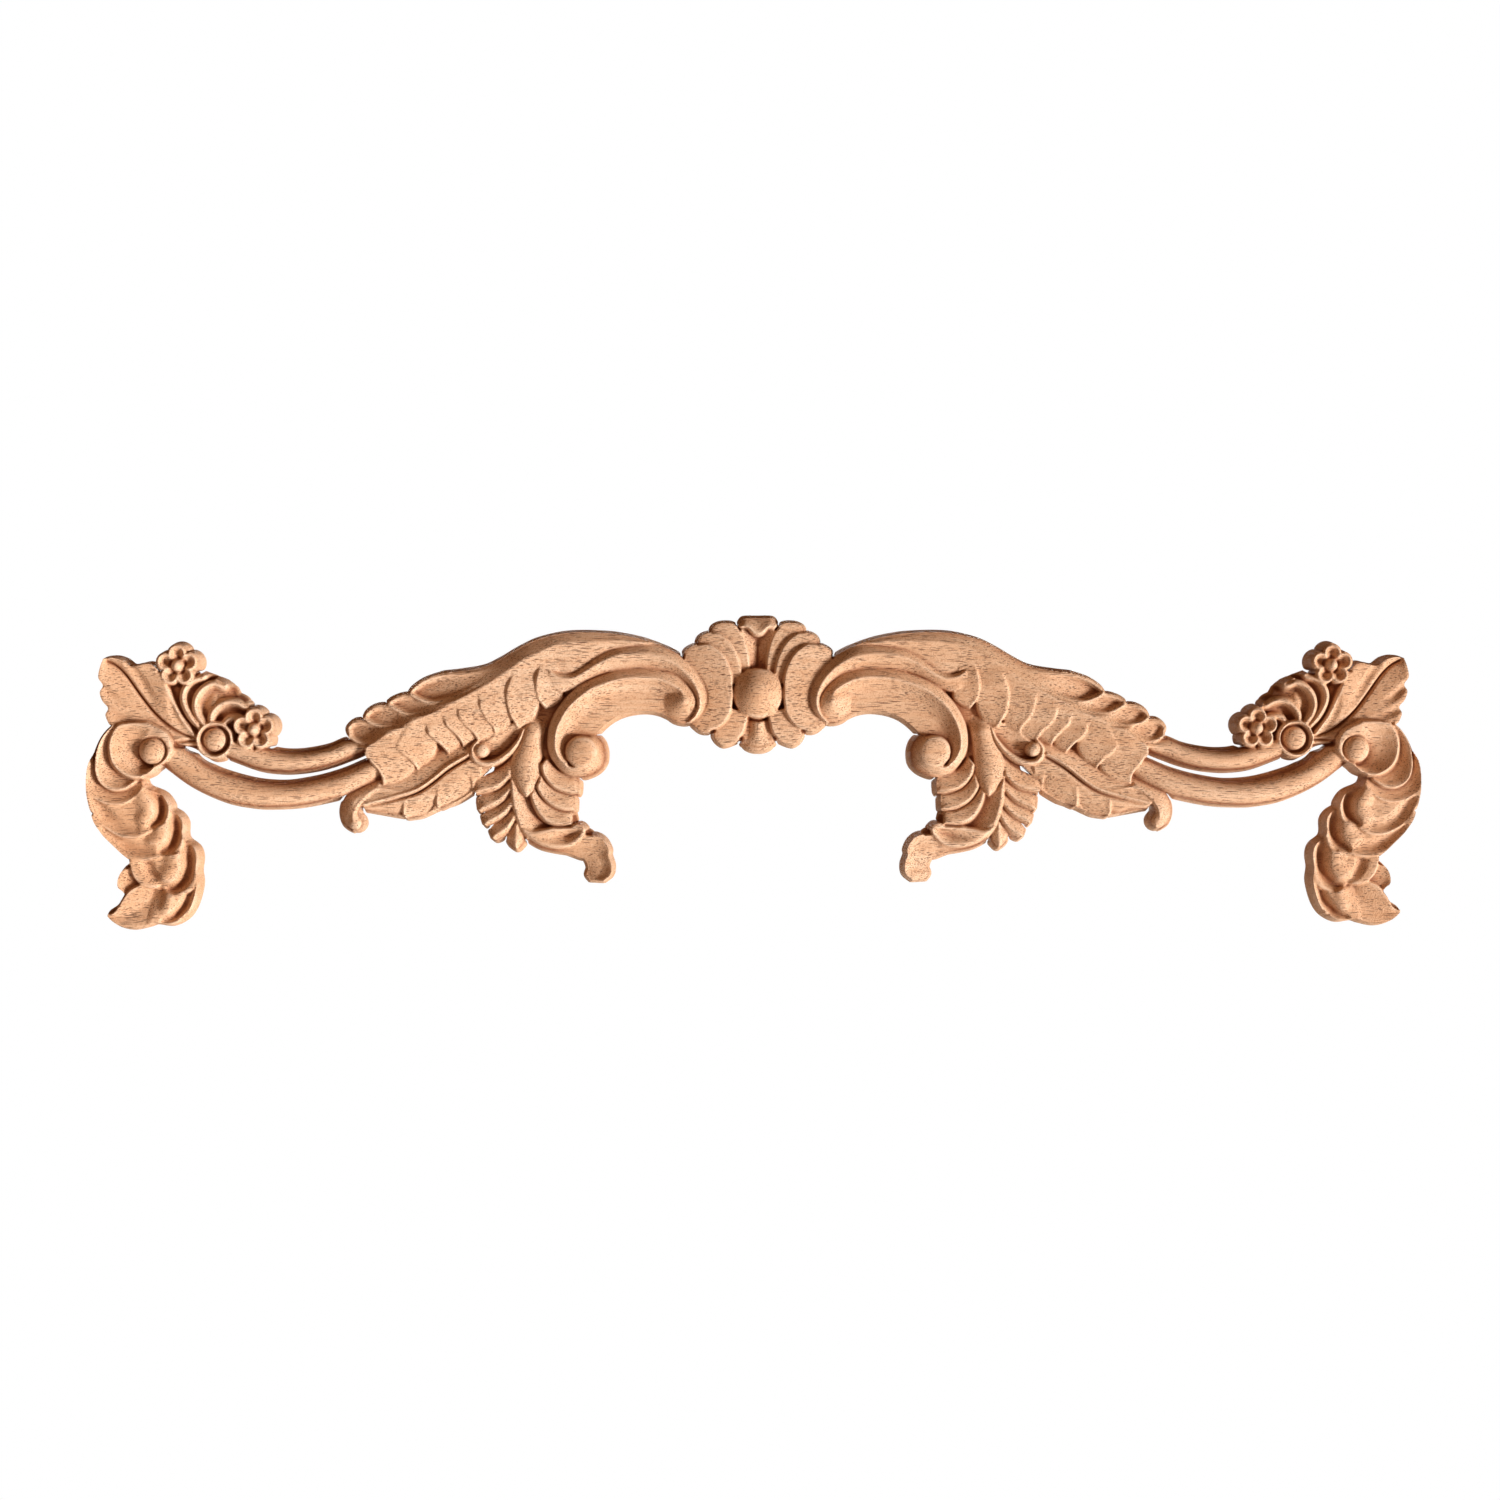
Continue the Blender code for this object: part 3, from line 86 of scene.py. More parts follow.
def nearest(line, u, v):
    """Distance to a line, the fraction of its length at the nearest point, and the side (left > 0)."""
    best = np.full(u.shape, np.inf)
    where = np.zeros(u.shape)
    side = np.ones(u.shape)
    step = np.diff(line, axis=0)
    length = np.hypot(step[:, 0], step[:, 1]) + TINY
    start = np.concatenate([[0], np.cumsum(length)])
    for a, s, n, d in zip(line[:-1], step, length, start):
        pu, pv = u - a[0], v - a[1]
        t = np.clip((pu * s[0] + pv * s[1]) / n ** 2, 0, 1)
        gap = (pu - t * s[0]) ** 2 + (pv - t * s[1]) ** 2
        cross = s[0] * pv - s[1] * pu
        closer = gap < best
        best = np.where(closer, gap, best)
        where = np.where(closer, (d + t * n) / start[-1], where)
        side = np.where(closer, np.sign(cross), side)
    return np.sqrt(best), where, side


def within(ring, u, v):
    """True where a point lies inside a closed ring."""
    inside = np.zeros(u.shape, bool)
    for a, b in zip(ring, np.roll(ring, -1, axis=0)):
        if a[1] == b[1]:
            continue
        spans = (a[1] > v) != (b[1] > v)
        inside ^= spans & (u < (b[0] - a[0]) * (v - a[1]) / (b[1] - a[1]) + a[0])
    return inside


def depth_in(ring, u, v):
    """Distance inside a closed ring, less than nought outside it."""
    rim = nearest(np.vstack([ring, ring[:1]]), u, v)[0]
    return np.where(within(ring, u, v), rim, -rim)


def ease(x):
    """Smooth step from 0 to 1, level at both ends."""
    x = np.clip(x, 0, 1)
    return x * x * (3 - 2 * x)


def field_at(field, u, v, x, y):
    """Value of a grid field at any points, straight between the four grid points around each."""
    pitch = u[1] - u[0]
    p = np.clip((x - u[0]) / pitch, 0, len(u) - 1.001)
    q = np.clip((y - v[0]) / pitch, 0, len(v) - 1.001)
    i, j = p.astype(int), q.astype(int)
    p, q = p - i, q - j
    return ((field[i, j] * (1 - p) + field[i + 1, j] * p) * (1 - q)
            + (field[i, j + 1] * (1 - p) + field[i + 1, j + 1] * p) * q)


class Relief:
    """A carved face as heights over a grid, with the distance inside the outline at each point."""

    def __init__(self, pitch, reach=(0, 404), rise=(-146, 51)):
        self.pitch = pitch
        self.u = np.arange(reach[0], reach[1] + pitch / 2, pitch)
        self.v = np.arange(rise[0], rise[1] + pitch / 2, pitch)
        self.high = np.zeros((len(self.u), len(self.v)))
        self.inside = np.full(self.high.shape, -FAR)
        self.limit = None

    def window(self, line, margin=3.0):
        """Part of the grid around a line, and the coordinates of its points."""
        lo, hi = line.min(0) - margin, line.max(0) + margin
        i = slice(np.searchsorted(self.u, lo[0]), np.searchsorted(self.u, hi[0]))
        j = slice(np.searchsorted(self.v, lo[1]), np.searchsorted(self.v, hi[1]))
        return (i, j), *np.meshgrid(self.u[i], self.v[j], indexing="ij")

    def put(self, part, depth, height, mode, grow=None):
        """Lay a shape over what is there, given its depth inside its own outline and its height.

        Mode over takes its height, max the higher of the two, and add adds it to what is there.
        grow, from 0 to 1, lets the height come up gradually out of what is there.
        """
        old, solid = self.high[part], self.inside[part]
        cover = np.clip(depth / self.pitch + 0.5, 0, 1)
        if self.limit is not None:
            cover = cover * (self.limit[part] > -self.pitch)
            depth = np.minimum(depth, self.limit[part])
        if mode == "add":
            self.high[part] = old + cover * height
            return
        if mode == "max":
            height = np.maximum(old, height)
        if grow is not None:
            height = np.where(solid > 0, old + grow * (height - old), height)
        cover = np.where((solid < 0) & (depth > -self.pitch), 1.0, cover)
        self.high[part] = old + cover * (height - old)
        self.inside[part] = np.maximum(solid, depth)

    def within_outline(self, outline):
        """Keep what is laid from here on inside an outline; None lifts the limit."""
        if outline is None:
            self.limit = None
            return
        ring = curve(outline)
        u, v = np.meshgrid(self.u, self.v, indexing="ij")
        self.limit = np.full(u.shape, -FAR)
        part, u, v = self.window(ring, 4)
        self.limit[part] = depth_in(ring, u, v)

    def blade(self, left, right, base, tip, crest=0.5, swell=(2, 2), spine=None, mode="over", edge=0.0,
              fade=0.0, bowl=None, lips=()):
        """Leaf shape between two edges that run from base to tip.

        base and tip give the heights at the left edge, the crest and the right edge; between an
        edge and the crest the height falls by (1 - x) ** swell, x being the way in from the edge.
        bowl (rim, reach, depth) sinks the middle: nothing on the rim, then down over the reach.
        lips gives for the left and the right edge the height added at distances from that edge.
        edge rounds the rim off, and over the fraction fade of the length the leaf comes up gradually.
        """
        left, right = curve(left), curve(right)
        part, u, v = self.window(np.vstack([left, right]))
        depth = depth_in(np.vstack([left, right[::-1]]), u, v)
        dl = nearest(left, u, v)[0]
        dr = nearest(right, u, v)[0]
        if spine is None:
            t = np.linspace(0, 1, BLADE_STEPS)
            spread = [np.stack([np.interp(t, np.linspace(0, 1, len(e)), e[:, k]) for k in (0, 1)], 1)
                      for e in (left, right)]
            middle = spread[0] * (1 - crest) + spread[1] * crest
            where = nearest(middle, u, v)[1]
            across = dl / (dl + dr + TINY)
            x = np.where(across < crest, across / crest, (1 - across) / (1 - crest))
            leftward = across < crest
        else:
            spine = curve(spine)
            ds, where, side = nearest(spine, u, v)
            mid = left[len(left) // 2]
            leftward = side == nearest(spine, mid[:1], mid[1:])[2][0]
            x = np.where(leftward, dl / (dl + ds + TINY), dr / (dr + ds + TINY))
        heights = [along(ends, where) for ends in zip(base, tip)]
        low = np.where(leftward, heights[0], heights[2])
        power = np.where(leftward, swell[0], swell[1])
        h = heights[1] - (heights[1] - low) * (1 - np.clip(x, 0, 1)) ** power
        if edge:
            h = h - edge * (1 - np.clip(depth / EDGE_WIDTH, 0, 1)) ** 2
        if bowl is not None:
            h = h - along(bowl[2], where) * ease((depth - bowl[0]) / bowl[1])
        for shape, away in zip(lips, (dl, dr)):
            shape = curve(shape)
            h = h + np.interp(away, shape[:, 0], shape[:, 1])
        self.put(part, depth, h, mode, ease(where / fade) if fade else None)

    def plate(self, outline, height, bevel=(1.0, 0.7), slope=None, mode="over", fall=2.0):
        """Flat shape whose rim is rounded off: bevel gives the width and the drop of the rounding.

        slope (du, dv, u0, v0) tilts the top by du and dv per millimetre about the point (u0, v0).
        """
        ring = curve(outline)
        part, u, v = self.window(ring)
        depth = depth_in(ring, u, v)
        x = np.clip(depth / bevel[0], 0, 1)
        h = height - bevel[1] * (1 - x) ** fall
        if slope is not None:
            h = h + slope[0] * (u - slope[2]) + slope[1] * (v - slope[3])
        self.put(part, depth, h, mode)

    def ridge(self, path, width, height, edge, power=2.0, mode="over"):
        """Bar along a path: half width, crest height and edge height may change along it."""
        line = curve(path)
        part, u, v = self.window(line, np.max(width) + 3)
        gap, where = nearest(line, u, v)[:2]
        w = along(width, where)
        top = along(height, where)
        low = along(edge, where)
        x = np.clip(gap / w, 0, 1)
        h = low + (top - low) * (1 - x ** power)
        self.put(part, w - gap, h, mode)

    def groove(self, path, width, depth):
        """Round cut along a path; width and depth may change along it, a negative depth raises."""
        line = curve(path)
        part, u, v = self.window(line, np.max(width) + 1)
        gap, where = nearest(line, u, v)[:2]
        w = along(width, where)
        cut = along(depth, where) * (1 - np.clip(gap / w, 0, 1) ** 2) ** 2
        self.put(part, w - gap, -cut, "add")

    def ball(self, centre, radius, top, edge, power=2.0, mode="over", fall=0.5):
        """Round boss: from top to edge the height falls as (1 - (r / radius) ** power) ** fall."""
        c = np.array([centre], float)
        part, u, v = self.window(c, radius + 3)
        r = np.hypot(u - c[0, 0], v - c[0, 1])
        x = np.clip(r / radius, 0, 1)
        h = edge + (top - edge) * (1 - x ** power) ** fall
        self.put(part, radius - r, h, mode)

    def soften(self, reach):
        """Weighted average of near heights inside the outline, weights falling as a bell curve."""
        n = int(np.ceil(BELL_REACH * reach / self.pitch))
        k = np.exp(-0.5 * (np.arange(-n, n + 1) * self.pitch / reach) ** 2)
        k /= k.sum()
        mask = (self.inside > -self.pitch).astype(float)

        def blur(a):
            a = np.pad(a, ((n, n), (n, n)), mode="reflect")
            a = sum(w * a[i:a.shape[0] - 2 * n + i, :] for i, w in enumerate(k))
            return sum(w * a[:, i:a.shape[1] - 2 * n + i] for i, w in enumerate(k))

        weight = blur(mask)
        value = blur(self.high * mask)
        self.high = np.where(mask > 0, value / np.maximum(weight, SMALL), 0)


# Faces of a grid cell for each set of its corners inside, corner n counting 2 ** n. They run round
# over the corners c inside and the points e where the outline crosses the sides.
CELL_SHAPES = {
    1: [("c0", "e0", "e3")], 2: [("c1", "e1", "e0")], 3: [("c0", "c1", "e1", "e3")],
    4: [("c2", "e2", "e1")], 5: [("c0", "e0", "e3"), ("c2", "e2", "e1")],
    6: [("c1", "c2", "e2", "e0")], 7: [("c0", "c1", "c2", "e2", "e3")], 8: [("c3", "e3", "e2")],
    9: [("c0", "e0", "e2", "c3")], 10: [("c1", "e1", "e0"), ("c3", "e3", "e2")],
    11: [("c0", "c1", "e1", "e2", "c3")], 12: [("c2", "c3", "e3", "e1")],
    13: [("c0", "e0", "e1", "c2", "c3")], 14: [("c1", "c2", "c3", "e3", "e0")],
    15: [("c0", "c1", "c2", "c3")],
}


def solid_from_relief(u, v, high, inside, draft):
    """Closed body of a relief: its carved face, a flat back and walls that splay by the draft.

    The outline is where the distance inside is nought; in each grid cell it runs straight between
    the points where that happens on the cell's sides.
    """
    nu, nv = inside.shape
    count = nu * nv
    at = np.arange(count).reshape(nu, nv)
    full = inside >= 0
    kind = (full[:-1, :-1] * 1 + full[1:, :-1] * 2 + full[1:, 1:] * 4 + full[:-1, 1:] * 8)
    code = {"c0": at[:-1, :-1], "c1": at[1:, :-1], "c2": at[1:, 1:], "c3": at[:-1, 1:],
            "e0": count + at[:-1, :-1], "e1": 2 * count + at[1:, :-1],
            "e2": count + at[:-1, 1:], "e3": 2 * count + at[:-1, :-1]}
    faces, rims = [], []
    for number, shapes in CELL_SHAPES.items():
        cells = kind == number
        if not cells.any():
            continue
        for shape in shapes:
            faces.append(np.stack([code[k][cells] for k in shape], 1))
            for a, b in zip(shape, shape[1:] + shape[:1]):
                if a[0] == "e" and b[0] == "e":
                    rims.append(np.stack([code[a][cells], code[b][cells]], 1))
    rims = np.vstack(rims)
    used = np.unique(np.concatenate([f.ravel() for f in faces]))
    new = np.full(3 * count, -1)
    new[used] = np.arange(len(used))

    # A point on a cell side lies where the distance inside passes through nought.
    grid_u, grid_v = np.meshgrid(u, v, indexing="ij")
    sort, cell = used // count, used % count
    i, j = cell // nv, cell % nv
    i2, j2 = np.minimum(i + (sort == 1), nu - 1), np.minimum(j + (sort == 2), nv - 1)
    a, b = inside[i, j], inside[i2, j2]
    t = np.clip(a / np.where(a == b, 1, a - b), CORNER_ROOM, 1 - CORNER_ROOM)
    t = np.where(sort == 0, 0.0, t)
    pu = grid_u[i, j] * (1 - t) + grid_u[i2, j2] * t
    pv = grid_v[i, j] * (1 - t) + grid_v[i2, j2] * t
    h = np.where(sort == 0, high[i, j], np.where(a >= 0, high[i, j], high[i2, j2]))

    # The foot of the wall stands out by the draft, less where another wall is near.
    smooth = np.clip(inside, -SMOOTH_LIMIT, SMOOTH_LIMIT)
    for axis in (0, 1):
        for _ in range(2):
            smooth = (np.roll(smooth, 1, axis) + 2 * smooth + np.roll(smooth, -1, axis)) / 4
    out_u, out_v = [-field_at(slope, u, v, pu, pv) for slope in np.gradient(smooth, u[1] - u[0])]
    size = np.maximum(np.hypot(out_u, out_v), SMALL)
    out_u, out_v = out_u / size, out_v / size
    reach = WALL_LOOK * draft
    free = np.clip(-field_at(inside, u, v, pu + reach * out_u, pv + reach * out_v), 0, reach)
    splay = np.where(sort == 0, 0, WALL_SHARE * free)
    top = np.stack([pu, -h, pv], 1)
    foot = np.stack([pu + splay * out_u, 0 * h, pv + splay * out_v], 1)
    n = len(used)
    polygons = []
    for f in faces:
        polygons.append(new[f])
        polygons.append(new[f][:, ::-1] + n)
    ra, rb = new[rims[:, 0]], new[rims[:, 1]]
    polygons.append(np.stack([rb, ra, ra + n, rb + n], 1))
    return np.vstack([top, foot]), polygons


def shell(r):
    """Shell in the middle: its foot and top folds, the scallops at both sides and the dome."""
    r.plate([(9.4, -14), (9.6, -28.6), (8.2, -31), (5.6, -33.2), (0, -34.2), (-8, -31), (-9, -20)], 8.6,
            bevel=(1.2, 1))
    r.ridge([(0, -10), (0, -22), (0, -33)], (4.5, 5, 8), (3.4, 3.2, 1.6), (0, 0), power=1.6, mode="add")
    r.ridge([(-8, -31.6), (0, -33.4), (8, -31.6)], 1.3, 1, 0, mode="add")
    r.plate([(-11, 10), (-11, 40), (11, 40), (11, 10)], 4.6, bevel=(0.6, 0))
    for s in (1, -1):
        r.blade([(0, 42.6), (0, 30), (0, 10)], [(s * 10, 42.6), (s * 10.6, 36), (s * 9, 26), (s * 7.5, 10)],
                (4.6, 7, 9.4), (4.6, 6.6, 8.4), swell=(1, 1))
    r.plate([(27, -23.6), (26, -26.6), (24, -29.2), (20.5, -31), (14.8, -29.2), (11, -26.8), (8.6, -23.4),
             (7.3, -19), (6.8, -12), (18, -8)], 12.2, slope=(-0.06, 0.05, 8, -20))
    r.plate([(28.4, 36), (27, 40), (24.2, 41.8), (20.7, 42.5), (15.8, 42.2), (12.3, 39.8), (9.7, 36),
             (7.6, 31.5), (6, 26), (5.1, 20.5), (4.9, 10), (12, 8)], 10.6, slope=(-0.08, 0, 5, 20))
    r.blade([(11.6, 40.6), (10.6, 39.6), (8.4, 39.8), (6.2, 39), (4.6, 37.2), (3, 35.4), (0, 34.4),
             (-3, 35.4), (-4.6, 37.2)],
            [(11.6, 41), (10.2, 43.5), (8.8, 45.2), (5, 45.5), (0, 45.4), (-4, 45.4)], (10, 12, 7.5),
            (12.5, 13, 7.5), crest=0.12, swell=(1.2, 1.1))
    r.plate([(36.6, 29), (35.6, 33), (33.2, 35.3), (29, 36.6), (25.2, 36.6), (22.7, 35.8), (19.4, 33.4),
             (16.2, 30.2), (13.6, 25.7), (11.7, 21.2), (10.4, 16), (9.6, 6), (20, 6)], 13,
            slope=(-0.09, 0, 10, 20))
    r.plate([(44.8, 22.5), (43.4, 26), (40.2, 28.1), (36.2, 29.4), (30, 29.8), (26.9, 28.4), (22.5, 25),
             (18.9, 20), (15.6, 11), (15, 0), (15.6, -8), (17.5, -13.7), (20.7, -18), (24.6, -20.9),
             (29.8, -22.8), (34, -22.6), (37.6, -20.2), (41, -16), (45, -5)], 15.4,
            slope=(-0.12, 0.02, 16, 0))
    r.ball((0, 0), 15.3, 21.2, 12.8, 2, fall=1)


def arch(r):
    """Main leaf: upper slope, midrib crest and the lower side; then the lobes."""
    top = [(236, -24), (226, -12), (212, -3), (200, 6), (195, 9.6), (190, 12.2), (180, 13.4), (165, 16),
           (155, 20.6), (145, 26.5), (135, 31.6), (125, 34.6), (115, 36.4), (104, 36.8), (90, 36.2),
           (80, 34.8), (70, 32.6), (60, 29.2), (54, 26.4)]
    crest = [(236, -31), (225, -26), (215, -20.5), (205, -16), (195, -12), (180, -4.5), (165, 3.5),
             (150, 13.5), (140, 20.5), (130, 25), (122, 28.8), (110, 30.8), (95, 31), (80, 31.3),
             (65, 29.5), (55, 26.2)]
    under = [(226, -46), (206, -38), (192, -27), (178, -22), (160, -12), (146, -4), (134, 0), (126, 9.5),
             (118, 10.5), (112, 10), (108, 11.5), (103, 15), (98, 19), (92, 22.5), (86, 25), (78, 26),
             (65, 26), (55, 24.6)]
    r.blade(top, under, (8, 18, 12), (13.5, 15.5, 13), spine=crest, swell=(1, 1))
    upper = [
        ([(222, -24), (232, -17), (240, -15.7), (244, -17), (247, -20.5), (246, -24.5)],
         [(222, -26.5), (228, -28.6), (235, -30.4), (240, -29.6), (244, -27.5), (246, -25)], (11, 12.5, 15),
         3.2, 0.5),
        ([(205, -15), (218, -8), (226, -6.7), (231, -7.8), (235, -10.5), (237, -14)],
         [(206, -17.4), (212, -20), (220, -20.7), (227, -20), (233, -18), (237, -14.5)], (13, 13, 15), 3.6,
         0.5),
        ([(182, -3), (200, 0), (212, -0.4), (218, -2), (222, -4.3), (223, -6.2)],
         [(184, -6.5), (195, -11), (203, -13), (211, -13), (218, -10), (223, -6.5)], (13, 13, 15.5), 3.6,
         0.6),
        ([(150, 20.6), (158, 17.6), (166, 15), (174, 13.4), (182, 12.8), (190, 12), (200, 8.8), (207, 4.3),
          (210, 0.5)], [(156, 12), (166, 5), (175, -0.2), (184, -4.3), (195, -6.3), (204, -4), (210, 0)],
         (14.5, 15, 16), 4.8, 0.7),
    ]
    for over, below, heights, sunk, fade in upper:
        r.blade(over, below, heights, (10, 12, 13.4), swell=(1.2, 1.2), edge=0.8, fade=fade,
                bowl=(1.1, 2.9, (0, 0.5 * sunk, 1.2 * sunk)))
    lower = [
        ([(222, -26), (234, -31), (235, -36), (232, -41), (227.5, -46), (225.3, -52), (225, -54.3)],
         [(200, -22), (204, -32), (206, -40), (207, -46), (213, -51), (219, -54), (224.5, -54.6)]),
        ([(210, -20), (216.5, -31), (213, -36), (208, -40.5), (204.5, -45)],
         [(194, -16), (192.5, -27), (192.8, -33), (196, -39), (203.5, -44.6)]),
        ([(202, -15), (198.5, -20), (197.5, -24), (194, -27.8), (190, -31.5), (186, -35.5)],
         [(186, -9), (179, -24), (178.5, -30), (182, -34), (185.5, -35.6)]),
        ([(190.5, -10), (188, -16), (186.5, -19.5), (183, -23), (179.3, -27), (177, -31.5)],
         [(175, -5), (168.5, -22), (169.3, -27.5), (173, -30), (176.5, -31.6)]),
        ([(181.5, -5), (180, -10), (178.8, -15), (175, -20), (171, -23.5), (168, -29)],
         [(162, 1), (156, -18), (159, -25), (163.5, -28), (167.5, -29.2)]),
        ([(169, 2), (167, -4), (166.5, -9), (163, -16), (159.5, -19.5), (158, -23.5)],
         [(150, 8), (146.5, -8), (148.3, -18), (152.5, -22.5), (157.6, -24.5)]),
        ([(146, 14), (150, 5), (151.2, -1), (150.3, -8), (148, -15), (144, -20.5)],
         [(130, 17), (128, 5), (131.3, -6), (134, -14), (139, -19), (143.5, -21)]),
        ([(128.4, 20), (131.5, 15), (133.3, 8), (133.2, 1), (131.2, -5), (127.8, -9)],
         [(121, 17), (119, 8), (117, 0), (118, -4), (123, -7.5), (127.3, -9.2)]),
    ]
    for edge, far in lower:
        r.blade(edge, far, (18.4, 17.4, 16.8), (15, 12.2, 9.6), crest=0.55, swell=(1.3, 1.1), edge=0.6,
                fade=0.36)


def ground(r):
    """Low ground that joins the leaves and scrolls."""
    r.ball((0, 2), 26, 8, 8)
    r.plate([(-6, 41), (9.6, 41.6), (12, 40.6), (20, 38.6), (25.6, 37.2), (28.6, 36), (33, 32.4),
             (36.4, 29.8), (41, 25.6), (45.2, 22.4), (46, 10), (42, -12), (35, -20), (27.6, -23),
             (23.4, -25.6), (17, -27.4), (10.8, -27.4), (7, -28.4), (-6, -29)], 5, bevel=(1, 0.5))
    for outline, height in [
        ([(118, -2), (130, 10), (150, 4), (172, -6), (196, -22), (206, -38), (228, -42), (233, -52),
          (238, -62), (234, -66), (205, -58), (180, -42), (166, -36), (152, -34), (146, -46), (132, -46),
          (120, -30)], 8),
        ([(88, 12), (100, 20), (130, 20), (142, 0), (136, -20), (130, -42), (120, -47), (112, -48),
          (118, -30), (118, -12), (106, 0)], 8),
        ([(124, -40), (150, -30), (158.2, -43.4), (159.4, -46.5), (164.8, -49.8), (167, -59), (162, -66),
          (158, -78), (150, -84), (140, -87), (114, -86), (110, -79), (114, -60), (112, -50)], 7),
        ([(114, -80), (105, -81.5), (96, -90), (103, -99), (116, -95.5)], 8),
        ([(174, -34), (160.8, -42), (163, -46.6), (167.8, -51.2), (173, -57), (182, -61), (190, -50)], 10),
    ]:
        r.plate(outline, height, bevel=(1, 0.5))


def rails(r):
    """Twin round rails with a narrow slot between them."""
    r.blade([(232, -30), (246, -27.2), (258, -31.5), (270, -34), (280, -34.8), (290, -33.8), (302, -30),
             (316, -26)],
            [(232, -33.4), (245, -38), (255, -41.7), (265, -44.4), (275, -45.9), (286, -46.3), (300, -44.4),
             (318, -37.8)], (7.6, 13.2, 7.4), (7.6, 13.2, 7.4), swell=(2.3, 2.3))
    r.blade([(230, -37), (245, -44.4), (258, -48.9), (270, -51.7), (284, -53.6), (300, -52.6), (315, -49),
             (328, -44.2), (338, -37.2), (350, -28)],
            [(226, -49), (235, -54.2), (247, -60.2), (260, -63.7), (275, -66.5), (290, -67.4), (303, -66.9),
             (320, -63.4), (340, -54.2), (358, -41)], (7.6, 13.8, 8.6), (8, 13.8, 9), swell=(2.4, 2.2))


def lower_leaf(r):
    """Leaf under the lobes of the main one: a vein, a light slope above it and scalloped edge below."""
    r.blade([(172, -35), (180, -40.5), (190, -47.5), (200, -55), (210, -60.3), (222, -62.7), (237, -67)],
            [(170, -27), (186, -32), (204, -41), (214, -47), (226, -51), (240, -58)], (12.5, 10.6, 8.6),
            (12.2, 10.8, 9.4), swell=(1, 1))
    r.blade([(165, -41.5), (172, -36.5), (180, -40.5), (190, -47.5), (200, -55), (210, -60.3), (222, -62.7),
             (237, -67)],
            [(168, -51.6), (170.4, -57.5), (175, -61), (182, -65), (192, -68.4), (203, -73.2), (212, -73.6),
             (224, -71.6), (236, -69.4)], (12, 11.6, 9.5), (13, 12.5, 9), crest=0.3, swell=(1, 1.6))
    for edge, far in [
        ([(237, -67), (226, -65), (214, -64), (205, -62)],
         [(236, -69.6), (226, -70.6), (219, -72.4), (212.5, -72)]),
        ([(214, -60), (213, -66), (213.4, -71.5), (211.5, -74.2)],
         [(193, -60), (194.5, -67), (201, -72.6), (210, -74.4)]),
        ([(196, -52), (192.8, -58), (193.4, -64), (192.5, -68.4)],
         [(173, -50), (172.5, -57.5), (180, -63.2), (190.5, -68.4)]),
    ]:
        r.blade(edge, far, (13.2, 11.6, 9), (12.6, 10.6, 8), crest=0.45, swell=(1.6, 1.2), edge=0.8,
                fade=0.4)
    r.ridge([(173, -36.5), (185, -43), (195, -51), (205, -57.5), (220, -62), (237, -66.5)],
            (1.8, 1.8, 1.8, 1.2), (14, 13.5, 13), (10.5, 10, 10), mode="max")
    r.groove([(174, -38.5), (186, -46), (196, -54), (206, -60), (222, -64.5), (238, -68)], 1.4,
             (3.5, 3.5, 1.5))
    r.blade([(228, -51), (238, -55.4), (247, -60.4), (250.2, -67), (250.6, -73), (248.5, -78.6),
             (243.6, -82)],
            [(226, -58), (233, -61), (239, -65.5), (240, -69.5), (239.4, -73), (238, -76.2), (239, -79.6)],
            (7.5, 12, 10.5), (8, 13, 9.5), crest=0.75, swell=(1.5, 2))
    r.ridge([(207, -56.5), (218, -58), (228, -56.8), (235, -61), (240.5, -67), (242.6, -73), (242, -77)],
            (1.2, 2, 2.2), (11.5, 12.5, 13.5), (9, 9.5, 10), mode="max")
    r.ball((241.6, -77.4), 4.2, 13.2, 9.5, 2, mode="max")


def fringe(r):
    """Leaflets on the outer side of the husk, tip first; each falls back from a crest by its lower edge."""
    for foot, crest, top in [
        ([(145.3, -77), (148, -81.7), (152, -85.4), (157.3, -88.2)],
         [(147, -75), (150, -79.4), (154, -82.8), (159.2, -85.6)],
         [(147, -67), (153, -74), (159, -78.5), (161.2, -82), (160, -86)]),
        ([(147.3, -69), (151, -73.5), (156, -76.8), (162.8, -79.8)],
         [(148.4, -66.8), (152.4, -71), (157.3, -74.4), (164, -77.4)],
         [(148.5, -58), (156, -66.5), (162, -69.7), (165.8, -73), (165, -77.5)]),
        ([(148.3, -60), (151.5, -64.3), (156.5, -67.9), (166.3, -71.6)],
         [(149, -57.8), (153, -61.8), (158, -65.3), (167, -69)],
         [(148.6, -49), (157, -57), (164.5, -60), (168.3, -63), (168, -69)]),
        ([(148.6, -51.8), (152, -55.6), (158, -59), (168.4, -61)],
         [(149.4, -49), (153.4, -53), (159, -56.2), (169.5, -58.6)],
         [(148, -36), (152, -42), (157.6, -46), (163.5, -48.8), (170, -52), (171, -57)]),
    ]:
        r.blade(foot, top, (8, 13, 8.8), (8.2, 12, 8.8), swell=(1.1, 1.15), spine=crest)
    r.blade([(146, -77.5), (151, -84.6), (150.6, -88), (149, -91), (145.6, -93.6)],
            [(144, -77.5), (141, -82), (140.4, -86), (141.4, -90), (144.6, -93.6)], (8.8, 12.5, 8.2),
            (8, 11.5, 8), swell=(1.2, 1.5),
            spine=[(145.5, -77.5), (145.2, -84), (145.8, -90), (145.2, -93.2)])


